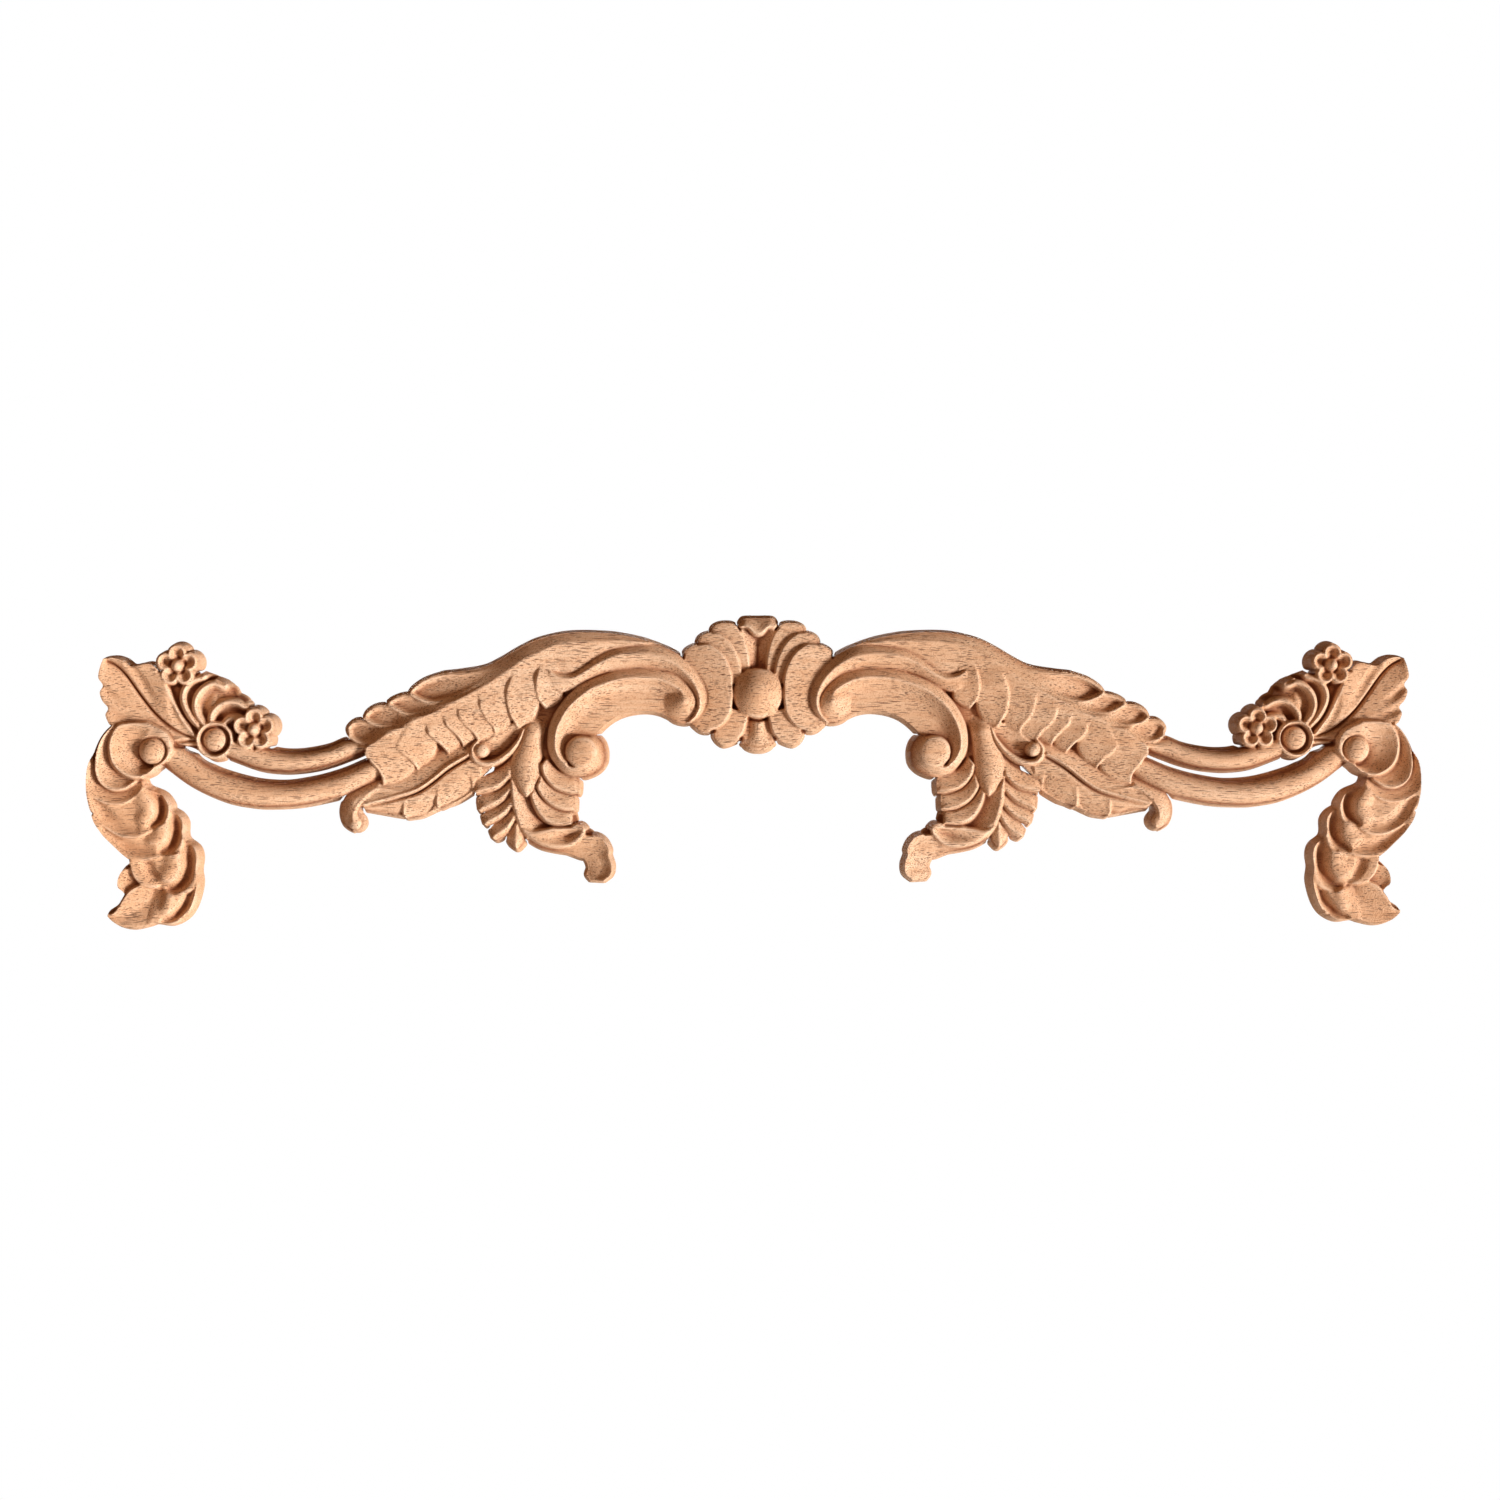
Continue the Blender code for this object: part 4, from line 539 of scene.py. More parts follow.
def end_scroll(r):
    """Leaf that hangs from the husk and turns inward to the lower end."""
    r.blade([(138.4, -88.4), (143.5, -80.8), (146.5, -73), (148.3, -63), (148.6, -50)],
            [(120, -82), (126, -76), (131, -67), (134, -58), (136, -47)], (10, 12.8, 3.6), (13.5, 14, 6),
            crest=0.13, swell=(1.5, 1))
    r.blade([(139, -88), (131, -92.4), (122, -94.6), (113, -96), (107, -97.6), (103.8, -100.5),
             (102.3, -105), (103.4, -109), (101.5, -112)],
            [(137, -82), (124, -84), (112, -84), (103, -85), (97, -85.6), (92.6, -88.6), (89.8, -94),
             (90, -97.5), (88.2, -103), (88.8, -108.6), (93, -112.4)], (8.5, 10, 11), (8, 10.2, 14),
            swell=(1.2, 1.5))
    r.blade([(142, -79), (136, -81.8), (130, -81.2), (121, -79.4), (113, -78.4), (106.5, -79),
             (103.6, -81.4)],
            [(141, -84.4), (134, -89.4), (127, -92.2), (120, -93), (113, -92), (107.6, -88.6),
             (104, -84.4)], (11.5, 13.2, 10.5), (14.2, 14.8, 13.2), swell=(1.6, 1.4), edge=0.7,
            bowl=(0.8, 7, (0.2, 2, 5.5, 6.5)))


def ruffles(r):
    """Overlapping leaflets on the inner side of the husk, lowest first, each with its crest by the rim."""
    for foot, crest, top in [
        ([(138, -58.6), (137, -64.4), (134.6, -70.4), (131, -75.6), (127, -78.8), (121, -80.4),
          (112.2, -80)],
         [(136.6, -57.5), (135.2, -63.6), (132.8, -69.2), (129.4, -73.8), (125.6, -76.6), (120, -78),
          (111.8, -77.8)],
         [(134, -50), (129, -60), (122, -66), (115, -68.6), (112, -70), (111.4, -74), (111.4, -79)]),
        ([(134.4, -52), (133.8, -57.4), (131.4, -62), (128.2, -65.8), (123.8, -68.8), (118, -71),
          (111.4, -71.4)],
         [(132.8, -51), (132.2, -56.6), (129.8, -60.8), (126.8, -64.2), (122.8, -66.8), (117.4, -68.9),
          (111, -69.2)],
         [(131, -44), (126, -51), (120, -56.5), (113, -59.4), (110.6, -61), (110.2, -65), (110.4, -70)]),
        ([(131.2, -44), (130.2, -49), (127.4, -53.8), (123.4, -57.6), (118.4, -59.8), (113, -61),
          (108.4, -60.8)],
         [(129.6, -43), (128.6, -48.2), (126, -52.2), (122.4, -55.6), (117.8, -57.7), (112.8, -58.9),
          (108.2, -58.8)],
         [(127, -38), (121, -45), (114, -48.4), (109.4, -49.6), (107.9, -52), (107.7, -56), (108, -59.5)]),
    ]:
        r.blade(foot, top, (8.4, 14.2, 9), (8.6, 13, 10.6), swell=(1.1, 1.2), spine=crest)


def husk(r):
    """Long bud under the stem, round across."""
    r.blade([(138, -12), (142, -22), (145, -29.5), (147.6, -36.5), (148.8, -44), (148, -51.6), (145, -56.8),
             (142, -60), (139.4, -61.9)],
            [(124, -12), (127.6, -22), (129.4, -30), (130, -38), (130.3, -46), (131.6, -52), (133.6, -56.4),
             (136.2, -60), (138.6, -61.9)], (11, 14.5, 9.5), (10.5, 15, 10.5), swell=(2, 2), fade=0.25)


def pod(r):
    """Open pod: a floor that slopes to a trough behind the round rim, and a pea at its end."""
    r.blade([(141.4, -20), (148, -17.5), (157, -21.5), (163, -26), (168, -28.6), (172, -32)],
            [(143.5, -27), (147.4, -33), (151.5, -37), (156.5, -40.4), (162, -42.2), (168, -41)],
            (13.2, 10, 7), (12.5, 8.5, 5.5), crest=0.45, swell=(1.2, 1.4))
    r.ridge([(140.6, -21), (143.2, -27.4), (147, -32.8), (151.6, -37.2), (157, -40.6), (162.5, -42),
             (168, -41), (171, -37.4), (171, -32.6), (168.8, -29.4)], (0.8, 1.9, 2.2, 2.3, 2.2, 1.8),
            (13.6, 14.2, 14.4, 14.4, 14), (9.5, 9.5, 9.8, 10), power=2.2)
    r.ball((166, -34), 4.6, 15.4, 10.5, 2.4)


def scroll(r):
    """Big inward scroll under the arch, with the S leaf and the outer turn over it."""
    cove = [(39, -5), (45, 3), (52, 7.5), (58, 10), (65, 11.2), (75, 11.2), (86, 9.5), (93, 7.5),
            (101, 4.3), (108, -0.4), (114, -6), (119, -13), (122.5, -21.5), (123.5, -30), (122, -37),
            (118.5, -42), (113, -45)]
    inner = [(44.5, -4.4), (45.4, -0.6), (48, 2.4), (52, 5), (58, 8), (65, 9.2), (75, 9.2), (85, 7.7),
             (92, 5.5), (100, 2.5), (106, -2), (112, -7), (117, -14), (120.5, -22), (121.5, -30),
             (120, -36), (117, -40.5), (113, -43.5), (108, -44.5)]
    outer = [(37.3, -6), (40, 3), (44, 7.3), (50, 11.4), (57, 13.8), (65, 15.2), (75, 15.1), (85, 14),
             (95, 11), (105, 6.5), (112, 1.5), (118, -5), (123, -13), (126, -21), (126.7, -30),
             (125, -37.5), (120, -45), (114, -49), (106, -50.6)]
    lower = [(46, -16.4), (50, -16.4), (54, -13.8), (60, -11.3), (67, -10.2), (75, -10.8), (82, -12.6),
             (88, -15.6), (93, -19.5), (97.5, -24), (100, -26), (103, -30), (106, -36)]
    r.ball((45, -5), 12, 10, 10)
    r.blade(cove, lower, (20.5, 12, 11), (20.5, 12, 11.5), crest=0.62, swell=(2, 1.5), fade=0.08)
    r.plate([(100, -24.5), (97, -25.8), (93.6, -29.5), (92, -35), (92.5, -41.5), (95.5, -45.8),
             (100, -48.6), (105.5, -50.2), (112, -49.4), (114, -44), (114, -32), (108, -26)], 18.4,
            bevel=(7.2, 7), fall=1.25)
    r.blade(outer[::-1], inner[::-1], (11.5, 15, 18.4), (13.6, 16.2, 18.4), swell=(1, 1), fade=0.02)
    turn = np.radians(np.arange(0, 360, 24))
    r.plate(np.stack([106 + 9.6 * np.cos(turn), -35.1 + 9.6 * np.sin(turn)], 1), 19.9, bevel=(6.5, 2.3),
            slope=(-0.06, 0, 106, 0), mode="max")
    r.ball((44.5, -4.6), 13, 19.2, 11.2, 1.15, mode="max", fall=1)
    r.blade([(116, 0.8), (119.5, 1.6), (123.2, 4.6), (125.2, 8), (125.3, 11.5), (124.6, 14.2), (121, 13.2),
             (117, 12.4), (112, 12.6), (108, 14.2), (103, 17.6), (98, 21.6), (92, 25.2), (86, 27.3),
             (78, 28.5), (68, 29.2)],
            [(113, 1.6), (110, 3.2), (105, 6.5), (98, 10), (90, 12.8), (83, 14.3), (75, 15), (68, 15.1)],
            (11.8, 16, 12), (13, 18, 13), swell=(1.1, 1.2),
            spine=[(124.9, 14), (122.5, 11.6), (119, 9.6), (114, 8.8), (109.5, 9.8), (105, 12.2),
                   (100, 15.4), (94, 18.8), (87, 21.8), (80, 23.3), (74, 23.6), (68, 23.5)])
    r.blade([(90, 26), (84, 27.6), (78, 28.6), (70, 29.4), (63, 29.6), (55, 27.2), (47, 22.6), (40, 16.6),
             (35, 10.6), (32, 5), (30.5, 0), (30.5, -5), (32.5, -10.5), (36, -14.6), (41, -17.6)],
            [(94, 11.6), (88, 13.2), (83, 14.3), (75, 15), (65, 15.1), (57, 13.7), (50, 11.2), (45, 7.2),
             (41, 3), (38, -2), (37.2, -6), (37.4, -10), (39, -14), (42, -17.2)], (13, 18, 13),
            (12, 17.6, 13), swell=(1.2, 1.3), fade=0.14,
            spine=[(92, 19.7), (86, 22.2), (80, 23.3), (72, 23.7), (65, 23.2), (58, 21.6), (52, 18.9),
                   (46, 14.8), (40.6, 9.2), (37, 3), (35.3, -3), (35.7, -9), (38, -13.6), (42, -17)])


def end_leaf(r):
    """Leaf at the outer end, a channel along its vein, with the fan beside it."""
    r.plate([(336, 12), (329, 10.4), (323, 8), (316.8, 4.6), (313.2, -0.4), (307, -5), (304, -20),
             (318, -30), (336, -30), (352, -30), (362, -10), (356, 10), (345, 8)], 7, bevel=(1, 0.8))
    for rim, inner, high, low in [
        ([(333, 12), (338, 10.8), (342.4, 8), (345.2, 4.2), (346.6, 0), (346.4, -5), (344.4, -10.5),
          (340.6, -16.6), (334, -23)], [(326, 9.4), (324, 4), (322, -4), (322, -12), (326, -21)], 14.8,
         8.4),
        ([(320, 7), (325, 8.8), (330, 7.6), (335, 4), (338.4, -1.4), (339.4, -8), (337.4, -14.6),
          (333, -20.5)], [(315, 3), (312.6, -2), (312, -9), (319, -16), (326, -21)], 15.4, 8.4),
        ([(306, -5.6), (311, -2.8), (317, -2), (323, -3.8), (327.6, -8), (330, -13), (330, -18)],
         [(303.6, -11), (306, -14), (312, -15), (320, -15), (326, -19)], 15, 8.6),
        ([(302, -14), (307, -12.2), (313, -11.4), (318.6, -12.8), (323, -17)],
         [(303, -22), (309, -23), (315, -22), (321, -20)], 13.5, 9),
    ]:
        r.blade(rim, inner, (high, 0.5 * (high + low), low), (high - 1, 0.5 * (high + low), low),
                swell=(1, 1),
                lips=[[(0, -4.6), (1.4, -1.8), (2.6, -0.1), (3.5, -0.2), (5.2, -3.8), (7.4, -4.8),
                       (13, -0.8), (18, 0), (60, 0)]])
    r.blade([(384, -22), (387.4, -18), (389.6, -12.5), (388.4, -8.3), (391.4, -4), (392.9, 1), (391.4, 5.3),
             (393.7, 10), (392.7, 16), (391, 21)],
            [(330, -34), (337, -24), (343, -16), (347, -9), (350.5, -1), (353, 5), (357, 12), (361, 16.5),
             (365, 18), (370, 17), (375, 16.5), (380, 20), (385, 21.5), (389.5, 21.3)], (13.2, 10.5, 12.5),
            (14.5, 11, 14.6), swell=(1.2, 1.2), edge=0.7,
            spine=[(336, -28), (345, -24), (354, -18.5), (362, -11), (370, -0.5), (378, 11), (384, 17),
                   (389.5, 20.5)])
    for fold, depth in [
        ([(392, 5), (385, -2), (377, -7)], (1.6, 1.4, 0)),
        ([(389.4, -8.5), (381, -13), (371, -16)], (1.6, 1.4, 0)),
        ([(375.4, 17.5), (369, 9), (364, 0), (358, -8)], (1.6, 1.4, 1, 0)),
        ([(351, 0), (350.6, -8), (347, -16), (341, -23)], (0.5, 1.4, 1.4, 0.6)),
    ]:
        r.groove(fold, 3.6, depth)
    r.groove([(335, -27), (345, -23.8), (354, -18.3), (362, -10.8), (370, -0.4), (378, 11), (384, 17),
              (389, 19.6)], (1, 1.3, 1.3, 0.9), (2.5, 3.6, 3.6, 2.5))
    for v in (-28.3, -31.5):
        r.groove([(352, v - 1), (343, v), (335, v)], 1.1, (1, 3, 3))


def flower(r, centre):
    """Five round petals about a ball, one petal up; each petal is a small dish."""
    angles = np.radians(90 + 72 * np.arange(5))

    def at(angle, out):
        return (centre[0] + out * np.cos(angle), centre[1] + out * np.sin(angle))

    r.ball(centre, 8, 12.5, 12.5)
    for a in angles:
        r.ball(at(a, 7), 5.9, 15.4, 12, 3, mode="max")
    for a in angles:
        r.ball(at(a, 7), 4.3, -4.8, 0, 2, mode="add", fall=1)
        r.groove([at(a + np.pi / 5, 8), at(a + np.pi / 5, 9.8), at(a + np.pi / 5, 12)], 0.9,
                 (0.1, 1.2, 2.5))
    r.groove([at(a, 4.6) for a in np.radians(np.arange(0, 361, 24))], 1.6, 2.6)
    r.ball(centre, 4, 16.8, 8, 2.2)


def cup(r):
    """Ball in a round cup."""
    c = (325.3, -27.5)
    r.ball(c, 11.2, 14.5, 12, 3)
    r.ball(c, 9.2, 8.5, 8.5)
    r.ball(c, 7.2, 13.5, 8.5, 2.4)


def droop(r):
    """Hanging spray of overlapping lobes under the end scroll, lowest first.

    Every lobe stands up along its lower or outer edge and sinks towards the lobe that covers it; the
    long ones also roll over a bulge into a hollow before the rim on their inner side.
    """
    outline = [(387, -19), (391.6, -23.4), (394.8, -28), (397.4, -34), (399.3, -40), (400.7, -46),
               (401.1, -52), (400.8, -58), (399.9, -64), (398.4, -70), (396.6, -76), (393.6, -81),
               (390, -85.8), (381, -94.6), (376.2, -98.8), (375.8, -102), (379.8, -105.2), (382.3, -109),
               (383.2, -113), (382.6, -116), (379.4, -119.3), (382, -125), (384.5, -128.5), (389.2, -131.8),
               (388.5, -134), (383, -138), (375, -139.6), (366, -137.8), (361, -136.4), (352, -137.3),
               (344.2, -133.6), (339.9, -128), (337.3, -121), (335.8, -113), (336.6, -105.5), (335.8, -98),
               (337.4, -92.5), (342.8, -88), (344.5, -84), (344.5, -77), (347.3, -72.6), (351.8, -69.6),
               (352.8, -66), (357.2, -60.4), (366.5, -56), (368.6, -50), (363.4, -47), (360, -43.8),
               (354.5, -40.3), (350, -34), (353, -24), (365, -16)]
    r.within_outline(outline)
    r.plate(outline, 8, bevel=(1, 0.5))
    r.blade([(366, -101), (378.5, -104.4), (383.5, -110), (383.5, -116), (378.5, -119.6)],
            [(366, -108), (366, -113), (370, -117), (375, -119), (378, -119.6)], (12, 8.5, 10),
            (12.5, 9, 11), crest=0.6, swell=(1.2, 1.5))
    r.blade([(360, -110), (374, -115.6), (379, -120.5), (382.4, -126), (385.6, -130.2), (389.5, -132)],
            [(348, -112), (350, -126), (354, -137), (366, -138.6), (377, -140), (385, -137.4),
             (389.5, -133)], (13, 8.6, 12), (12.5, 10, 11), swell=(1, 1), edge=0.6,
            spine=[(360, -110), (362.4, -120), (367, -126.4), (374, -131), (382, -133), (389.5, -132.5)])
    r.blade([(360, -112), (365.4, -125), (371, -138.6)],
            [(335, -110), (336.6, -121), (341.6, -130.6), (350, -137), (358, -138.4)], (7, 12.8, 12.5),
            (9, 11.8, 11.5), swell=(1.3, 1), mode="max")
    r.groove([(340, -117), (343.4, -126), (349, -132.4), (356, -135.6)], (4, 4.4, 4.4, 3), (3.5, 5, 5, 2))
    r.groove([(352, -119), (353.6, -128)], 6, -1.6)
    r.blade([(376, -95), (375.6, -103), (373.6, -109.5), (369.5, -113.8), (364, -116.2), (357.5, -115.8)],
            [(337, -86), (336.6, -93), (335.4, -99), (336.4, -105.5), (335.6, -112), (340, -118.4),
             (349, -120.4)], (14, 12, 13), (13, 11.5, 12.5), swell=(1.2, 1.2), edge=0.8)
    r.groove([(342, -89), (341, -98), (341.6, -106), (344.6, -112.4), (350, -115.8), (356, -115)],
             (6, 5.5, 5.5, 5, 4), (4, 5.5, 5.5, 5, 2.5))
    r.groove([(350, -96), (349.6, -103), (353, -109.6)], 8, -2.4)
    r.groove([(366, -98), (364, -106), (358.6, -113)], (5.5, 5, 4), (2, 2.4, 1.4))
    r.blade([(400, -72), (395, -80.6), (390.8, -86.2), (381.8, -94.9), (375.4, -98.8), (368, -100),
             (360, -98.6), (351, -95.6)],
            [(352, -66), (348.5, -70), (344.5, -77), (343.5, -84), (343.6, -89.5), (346, -94),
             (350, -95.8)], (14.6, 12, 13), (13.6, 12, 12.5), swell=(1.2, 1.2), edge=0.8)
    r.groove([(351, -69), (349, -77), (349, -84.6), (351.6, -90.6), (356.6, -94)],
             (4.5, 5.2, 5.2, 4.8, 3.6), (3, 5.5, 5.8, 5.2, 2.5))
    r.groove([(389, -81), (381, -88.5), (372, -92.6), (363, -93)], (5, 6, 5), (2.2, 3, 1.6))
    r.groove([(358, -78), (357.4, -84), (361, -88.6)], 7, -2.2)
    r.blade([(402.5, -52), (401.4, -61), (398.8, -69), (393.8, -77), (386.2, -83), (378, -86.2),
             (369, -85.8), (361.8, -81), (358, -77.8)],
            [(367, -50), (360, -57), (354, -62), (351.8, -67), (351.4, -72), (353, -76), (357, -78.2)],
            (15.2, 12.6, 14), (14.2, 12.4, 13), swell=(1.2, 1.2), edge=0.8)
    r.groove([(363, -57), (358.4, -62.6), (357.2, -69), (358.6, -74.6), (362.6, -78.6)],
             (4.5, 5, 5, 4.6, 3.6), (3, 5.5, 5.8, 5.2, 2.5))
    r.groove([(395, -64), (390, -73), (382, -79), (373, -80.6)], (5, 6.5, 6, 5), (2, 3.2, 2.8, 1.4))
    r.groove([(368, -62), (365, -68.4), (367, -74.6)], 7, -2.2)
    r.blade([(398, -36), (401, -44), (402, -54), (398.5, -60.6), (392, -64.9), (384, -66.4), (377, -65.2),
             (371.5, -61.4), (367.5, -57)],
            [(394, -36), (393, -48), (390, -54), (384, -56.4), (378, -55.6), (373.5, -53), (368.5, -50)],
            (15, 12, 9.5), (15, 12.5, 10.5), crest=0.4, swell=(1, 1), fade=0.12,
            lips=[[(0, -2.6), (1, -1.1), (2.2, -0.1), (4, 0), (60, 0)]])
    r.blade([(385, -18), (391, -24.4), (394.8, -32.5), (396, -42), (394.8, -50), (391, -55.2), (385, -57.8),
             (378, -57), (372, -53)],
            [(380, -22), (385.6, -31), (385.6, -38), (383, -44), (379, -47.6), (374, -49.4), (369, -49.6)],
            (16, 12, 8), (16, 12.5, 10), crest=0.45, swell=(1, 1),
            lips=[[(0, -3.4), (1.2, -1.4), (2.6, -0.1), (4.5, 0), (60, 0)]])
    turn = np.array([(365, -17), (378, -17), (383.4, -20), (386.8, -27), (387.2, -34), (385.5, -41),
                     (381, -46.5), (374, -50), (367, -49.4), (361.5, -46.2), (354.5, -41.6), (350, -36),
                     (348.5, -30), (352, -23)])
    r.plate((turn - (368, -34)) * 1.13 + (368, -34), 15, bevel=(3.2, 5), mode="max", fall=1.2)
    r.plate(turn, 16.2, bevel=(0.9, 0.8))
    r.blade([(364, -18), (377, -18.6), (382.4, -21.2), (385.6, -27.6), (386, -34), (384.4, -40.4),
             (380.2, -45.4), (373.6, -48.8), (367, -48.2), (361, -44.4)],
            [(360, -27), (365, -28.5), (368, -34), (366, -39.5), (361.5, -41)], (16.2, 14.6, 13),
            (15.4, 9.4, 6.4), swell=(1.15, 1.15), fade=0.2)
    r.ball((361.5, -34), 8.6, 18.5, 10.5, 2.2)
    r.within_outline(None)


def carve(pitch, soft):
    """Everything on the half, in the order in which one form lies over another."""
    r = Relief(pitch)
    ground(r)
    rails(r)
    lower_leaf(r)
    fringe(r)
    end_scroll(r)
    ruffles(r)
    husk(r)
    pod(r)
    arch(r)
    shell(r)
    scroll(r)
    end_leaf(r)
    flower(r, (301.8, -21.2))
    flower(r, (347.2, 17))
    cup(r)
    droop(r)
    r.soften(soft)
    return r


def hollows(relief, reach):
    """How far each point lies under the bell-weighted average height around it, in millimetres."""
    wide = Relief(relief.pitch)
    wide.high, wide.inside = relief.high.copy(), relief.inside
    wide.soften(reach)
    return wide.high - relief.high


def placed(name, data):
    """Object of the data, put in the scene."""
    made = bpy.data.objects.new(name, data)
    bpy.context.scene.collection.objects.link(made)
    return made


def carved_piece():
    """The whole carving as one closed mesh: the finely cut half, thinned, then mirrored in x."""
    relief = carve(GRID_PITCH, SOFTENING)
    extra = int(OVERLAP / GRID_PITCH)
    u = np.concatenate([-relief.u[extra:0:-1], relief.u])
    high = np.concatenate([relief.high[extra:0:-1], relief.high])
    inside = np.concatenate([relief.inside[extra:0:-1], relief.inside])
    points, polygons = solid_from_relief(u, relief.v, high, inside, WALL_DRAFT)
    mesh = bpy.data.meshes.new("carving")
    faces = [face for group in polygons for face in group.tolist()]
    mesh.from_pydata((points * MILLIMETRE).tolist(), [], faces)
    half = placed("carving", mesh)
    triangles = sum(len(face) - 2 for face in faces)
    thin = half.modifiers.new("Fewer faces", "DECIMATE")
    thin.ratio = HALF_TRIANGLES / triangles
    thin.use_collapse_triangulate = True
    twin = half.modifiers.new("Other half", "MIRROR")
    twin.use_axis = (True, False, False)
    twin.use_bisect_axis = (True, False, False)
    twin.use_mirror_merge = True
    twin.merge_threshold = MERGE_DISTANCE
    whole = bpy.data.meshes.new_from_object(half.evaluated_get(bpy.context.evaluated_depsgraph_get()))
    bpy.data.objects.remove(half)
    bpy.data.meshes.remove(mesh)

    where = np.empty(3 * len(whole.vertices))
    whole.vertices.foreach_get("co", where)
    where = where.reshape(-1, 3) / MILLIMETRE
    # Depth under the average height around each point, faded out near the back. The wood uses it to paint
    # shade into hollows and highlight onto raised edges.
    front = np.clip(-where[:, 1] / PAINTED_LIGHT_FADE, 0, 1)
    for name, reach in PAINTED_LIGHT_REACHES.items():
        depth = field_at(hollows(relief, reach), relief.u, relief.v, np.abs(where[:, 0]), where[:, 2])
        attribute = whole.attributes.new(name, "FLOAT", "POINT")
        attribute.data.foreach_set("value", (depth * front).astype(np.float32))
    whole.name = "carved_face"
    piece = placed("carved_face", whole)
    whole.shade_smooth()
    whole.set_sharp_from_angle(angle=CREASE_ANGLE)
    return piece


def node(tree, kind, inputs=None, **settings):
    """A shader node with its settings, each input being a value or the socket that feeds it."""
    made = tree.nodes.new(kind)
    for name, value in settings.items():
        setattr(made, name, value)
    for socket, value in (inputs or {}).items():
        if isinstance(value, bpy.types.NodeSocket):
            tree.links.new(value, made.inputs[socket])
        else:
            made.inputs[socket].default_value = value
    return made


def colour(red, green, blue):
    """Linear colour of the values 0 to 255 that a picture of it would have."""
    share = np.array([red, green, blue]) / 255
    linear = np.where(share <= 0.04, share / 12.92, ((share + 0.055) / 1.055) ** 2.4)
    return (*linear.tolist(), 1.0)


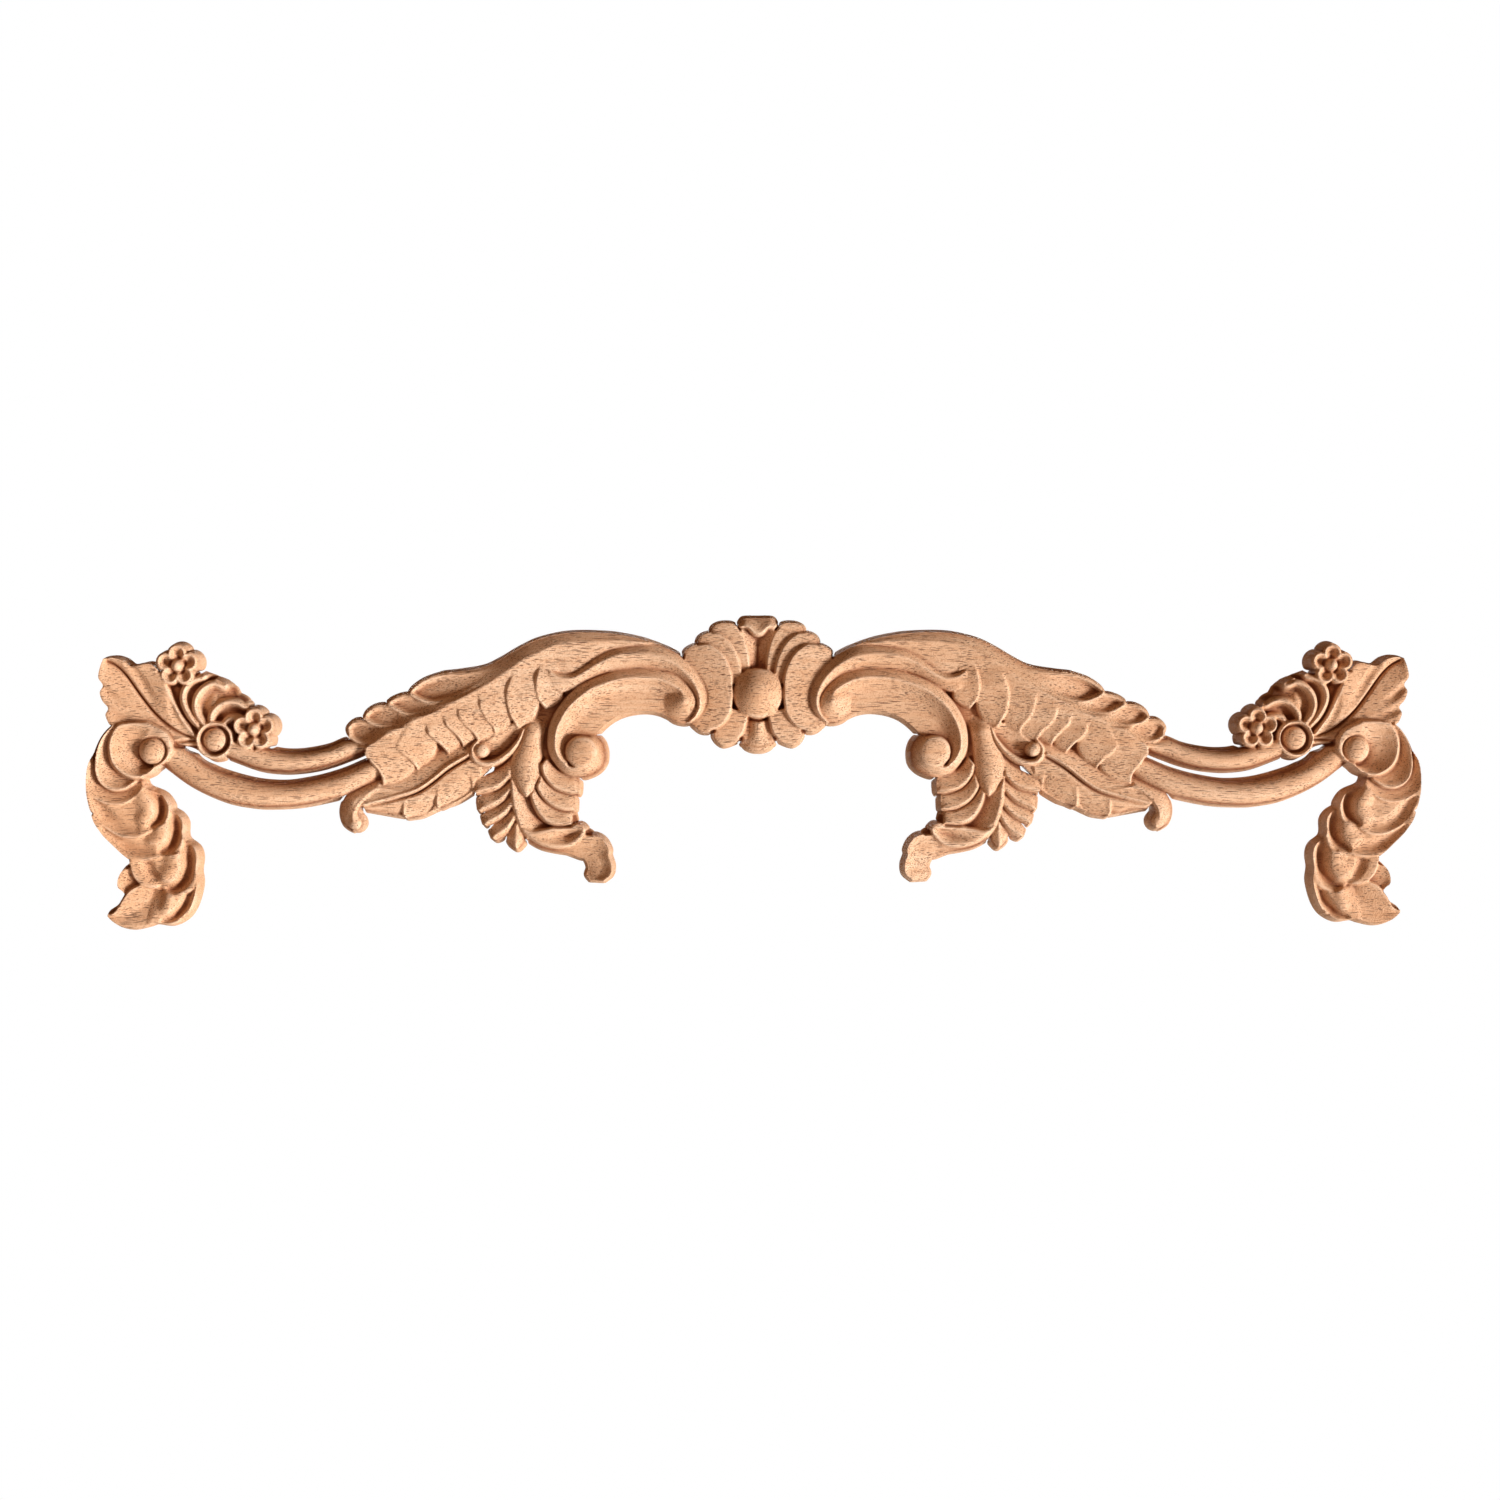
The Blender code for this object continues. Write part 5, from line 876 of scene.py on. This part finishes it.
def wood():
    """Pale reddish plantation wood, raw from the chisel.

    Every pattern lies in the object's own space and is drawn out along x, which is the way of the
    grain: board tone, streaks, fibres, and the short dark pores that the cut leaves open. The first
    two numbers of a pattern are its repeats per metre along the grain and across it. Besides these,
    shade is painted into the hollows and highlight onto the raised edges.
    """
    material = bpy.data.materials.new("raw_carved_wood")
    material.use_nodes = True
    tree = material.node_tree
    tree.nodes.clear()
    place = node(tree, "ShaderNodeTexCoord").outputs["Object"]

    def drawn_out(x, across, shift=0.0):
        return node(tree, "ShaderNodeMapping", {"Vector": place, "Scale": (x, across, across),
                                                "Location": (shift, shift, shift)}).outputs["Vector"]

    def noise(vector, detail=3.0, rough=0.55):
        return node(tree, "ShaderNodeTexNoise", {"Vector": vector, "Scale": 1.0, "Detail": detail,
                                                 "Roughness": rough}).outputs["Fac"]

    def spread(value, low, high, to_low=0.0, to_high=1.0, smooth=False):
        return node(tree, "ShaderNodeMapRange", {"Value": value, "From Min": low, "From Max": high,
                                                 "To Min": to_low, "To Max": to_high},
                    interpolation_type="SMOOTHSTEP" if smooth else "LINEAR").outputs["Result"]

    def sums(operation, *values):
        return node(tree, "ShaderNodeMath", dict(enumerate(values)), operation=operation).outputs[0]

    def pores(x, across, size, shift):
        cell = node(tree, "ShaderNodeTexVoronoi", {"Vector": drawn_out(x, across, shift), "Scale": 1.0,
                                                   "Randomness": 1.0}, feature="F1")
        return spread(cell.outputs["Distance"], size * 0.55, size, 1.0, 0.0, True)

    def depth(name):
        return node(tree, "ShaderNodeAttribute", attribute_name=name).outputs["Fac"]

    tone = noise(drawn_out(5.0, 16.0), 2.0)
    streaks = noise(drawn_out(14.0, 260.0), 4.0, 0.6)
    fibres = noise(drawn_out(110.0, 1500.0), 3.0, 0.6)
    crumbs = noise(drawn_out(1100.0, 1300.0, 3.0), 2.0, 0.6)
    dense = spread(noise(drawn_out(22.0, 60.0, 7.0), 2.0), 0.38, 0.62, 0.25, 1.0)
    short = sums("MULTIPLY", pores(115.0, 1650.0, 0.34, 0.0), dense)
    long = pores(50.0, 1250.0, 0.28, 5.0)
    # Depth under the average height around each point: shade is painted where it is deep, and highlight
    # where it is below nought.
    near, wide = depth("painted_shade_and_highlight_near"), depth("painted_shade_wide")
    from_middle = sums("ABSOLUTE", node(tree, "ShaderNodeSeparateXYZ", {0: place}).outputs["X"])

    # Colours laid one over another: how much of each shows, and its values 0 to 255.
    base = colour(232, 199, 168)
    for share, tint in [
        (spread(tone, 0.35, 0.65), (224, 183, 147)),
        (spread(streaks, 0.35, 0.68, 0.0, 0.55), (208, 156, 115)),
        (spread(fibres, 0.4, 0.75, 0.0, 0.35), (196, 140, 98)),
        (spread(crumbs, 0.5, 0.68, 0.0, 0.55), (170, 106, 64)),
        (spread(from_middle, 0.2, 0.4, 0.0, 0.35), (222, 166, 122)),
        # Painted shade: darker brown where the surface lies under the wide average height.
        (spread(wide, 0.2, 3.5, 0.0, 0.6, True), (164, 92, 40)),
        # Painted shade: darkest in narrow hollows, creases and grooves.
        (spread(near, 0.15, 1.6, 0.0, 0.75, True), (112, 50, 10)),
        # Painted highlight: paler where the surface stands over the near average height, on raised edges.
        (spread(near, -1.2, -0.1, 0.35, 0.0, True), (246, 220, 194)),
        (sums("MULTIPLY", long, 0.9), (98, 46, 20)),
        (sums("MULTIPLY", short, 0.85), (104, 50, 22)),
    ]:
        base = node(tree, "ShaderNodeMix", {0: share, 6: base, 7: colour(*tint)},
                    data_type="RGBA").outputs[2]

    # The cut is rough where it crumbles and sunk in the pores.
    height = sums("MULTIPLY_ADD", fibres, 0.35, sums("MULTIPLY", crumbs, 1.2))
    height = sums("MULTIPLY_ADD", sums("MAXIMUM", long, short), -0.8, height)
    bump = node(tree, "ShaderNodeBump", {"Height": height, "Strength": 1.0, "Distance": 0.00035}).outputs[0]
    shader = node(tree, "ShaderNodeBsdfPrincipled", {
        "Base Color": base, "Roughness": spread(streaks, 0.3, 0.7, 0.56, 0.7), "Normal": bump,
        "Specular IOR Level": 0.35})
    node(tree, "ShaderNodeOutputMaterial", {"Surface": shader.outputs[0]})
    return material


def floor():
    """Plain pale floor, well under the piece."""
    half, level = 1.3, -1.0
    corners = [(-half, -half, level), (half, -half, level), (half, half, level), (-half, half, level)]
    mesh = bpy.data.meshes.new("floor")
    mesh.from_pydata(corners, [], [(0, 1, 2, 3)])
    material = bpy.data.materials.new("pale_floor")
    material.use_nodes = True
    shader = material.node_tree.nodes["Principled BSDF"]
    shader.inputs["Base Color"].default_value = (0.82, 0.81, 0.79, 1)
    shader.inputs["Roughness"].default_value = 0.8
    mesh.materials.append(material)
    return placed("floor", mesh)


def lamp(name, towards, strength, angle, tint):
    """Far soft light that shines from the direction given."""
    light = bpy.data.lights.new(name, "SUN")
    light.energy, light.angle, light.color = strength, math.radians(angle), tint
    placed(name, light).rotation_euler = Vector(towards).to_track_quat("Z", "Y").to_euler()


def studio():
    """White surroundings and soft light.

    The key shines from the lower right and a weak fill from the upper left, one lamp shines on the
    back, and a panel under the piece lights the floor only.
    """
    scene = bpy.context.scene
    world = bpy.data.worlds.new("studio")
    scene.world = world
    world.use_nodes = True
    tree = world.node_tree
    tree.nodes.clear()
    seen = node(tree, "ShaderNodeBackground", {"Color": (1, 1, 1, 1), "Strength": 1.0}).outputs[0]
    lit = node(tree, "ShaderNodeBackground", {"Color": (1.0, 0.5, 0.22, 1), "Strength": 0.13}).outputs[0]
    ray = node(tree, "ShaderNodeLightPath").outputs["Is Camera Ray"]
    both = node(tree, "ShaderNodeMixShader", {0: ray, 1: lit, 2: seen}).outputs[0]
    node(tree, "ShaderNodeOutputWorld", {"Surface": both})
    lamp("key", (0.83, -0.49, -0.27), 5.5, 14, (1.0, 0.99, 0.97))
    lamp("fill", (-0.2, -1.0, 0.5), 0.3, 60, (1.0, 0.62, 0.38))
    lamp("behind", (0.0, 1.0, 0.05), 2.6, 30, (1.0, 0.98, 0.95))
    panel = bpy.data.lights.new("over_floor", "AREA")
    panel.energy, panel.shape, panel.size = 24.0, "SQUARE", 2.5
    placed("over_floor", panel).location = (0, 0, -0.25)
    scene.view_settings.view_transform = "Standard"


def camera():
    """Straight-on view of the photograph, a little from the left."""
    lens = bpy.data.cameras.new("camera")
    lens.lens, lens.sensor_width = 52.0, 36.0
    made = placed("camera", lens)
    yaw, roll, distance = math.radians(1.34), math.radians(0.09), 1.30
    aim = (-0.005, -0.015, -0.034)
    made.location = (aim[0] - distance * math.sin(yaw), aim[1] - distance * math.cos(yaw), aim[2])
    made.rotation_euler = (math.radians(90), roll, -yaw)
    bpy.context.scene.camera = made


piece = carved_piece()
piece.data.materials.append(wood())
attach(piece, "root")
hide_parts("carved_applique")
floor()
studio()
camera()
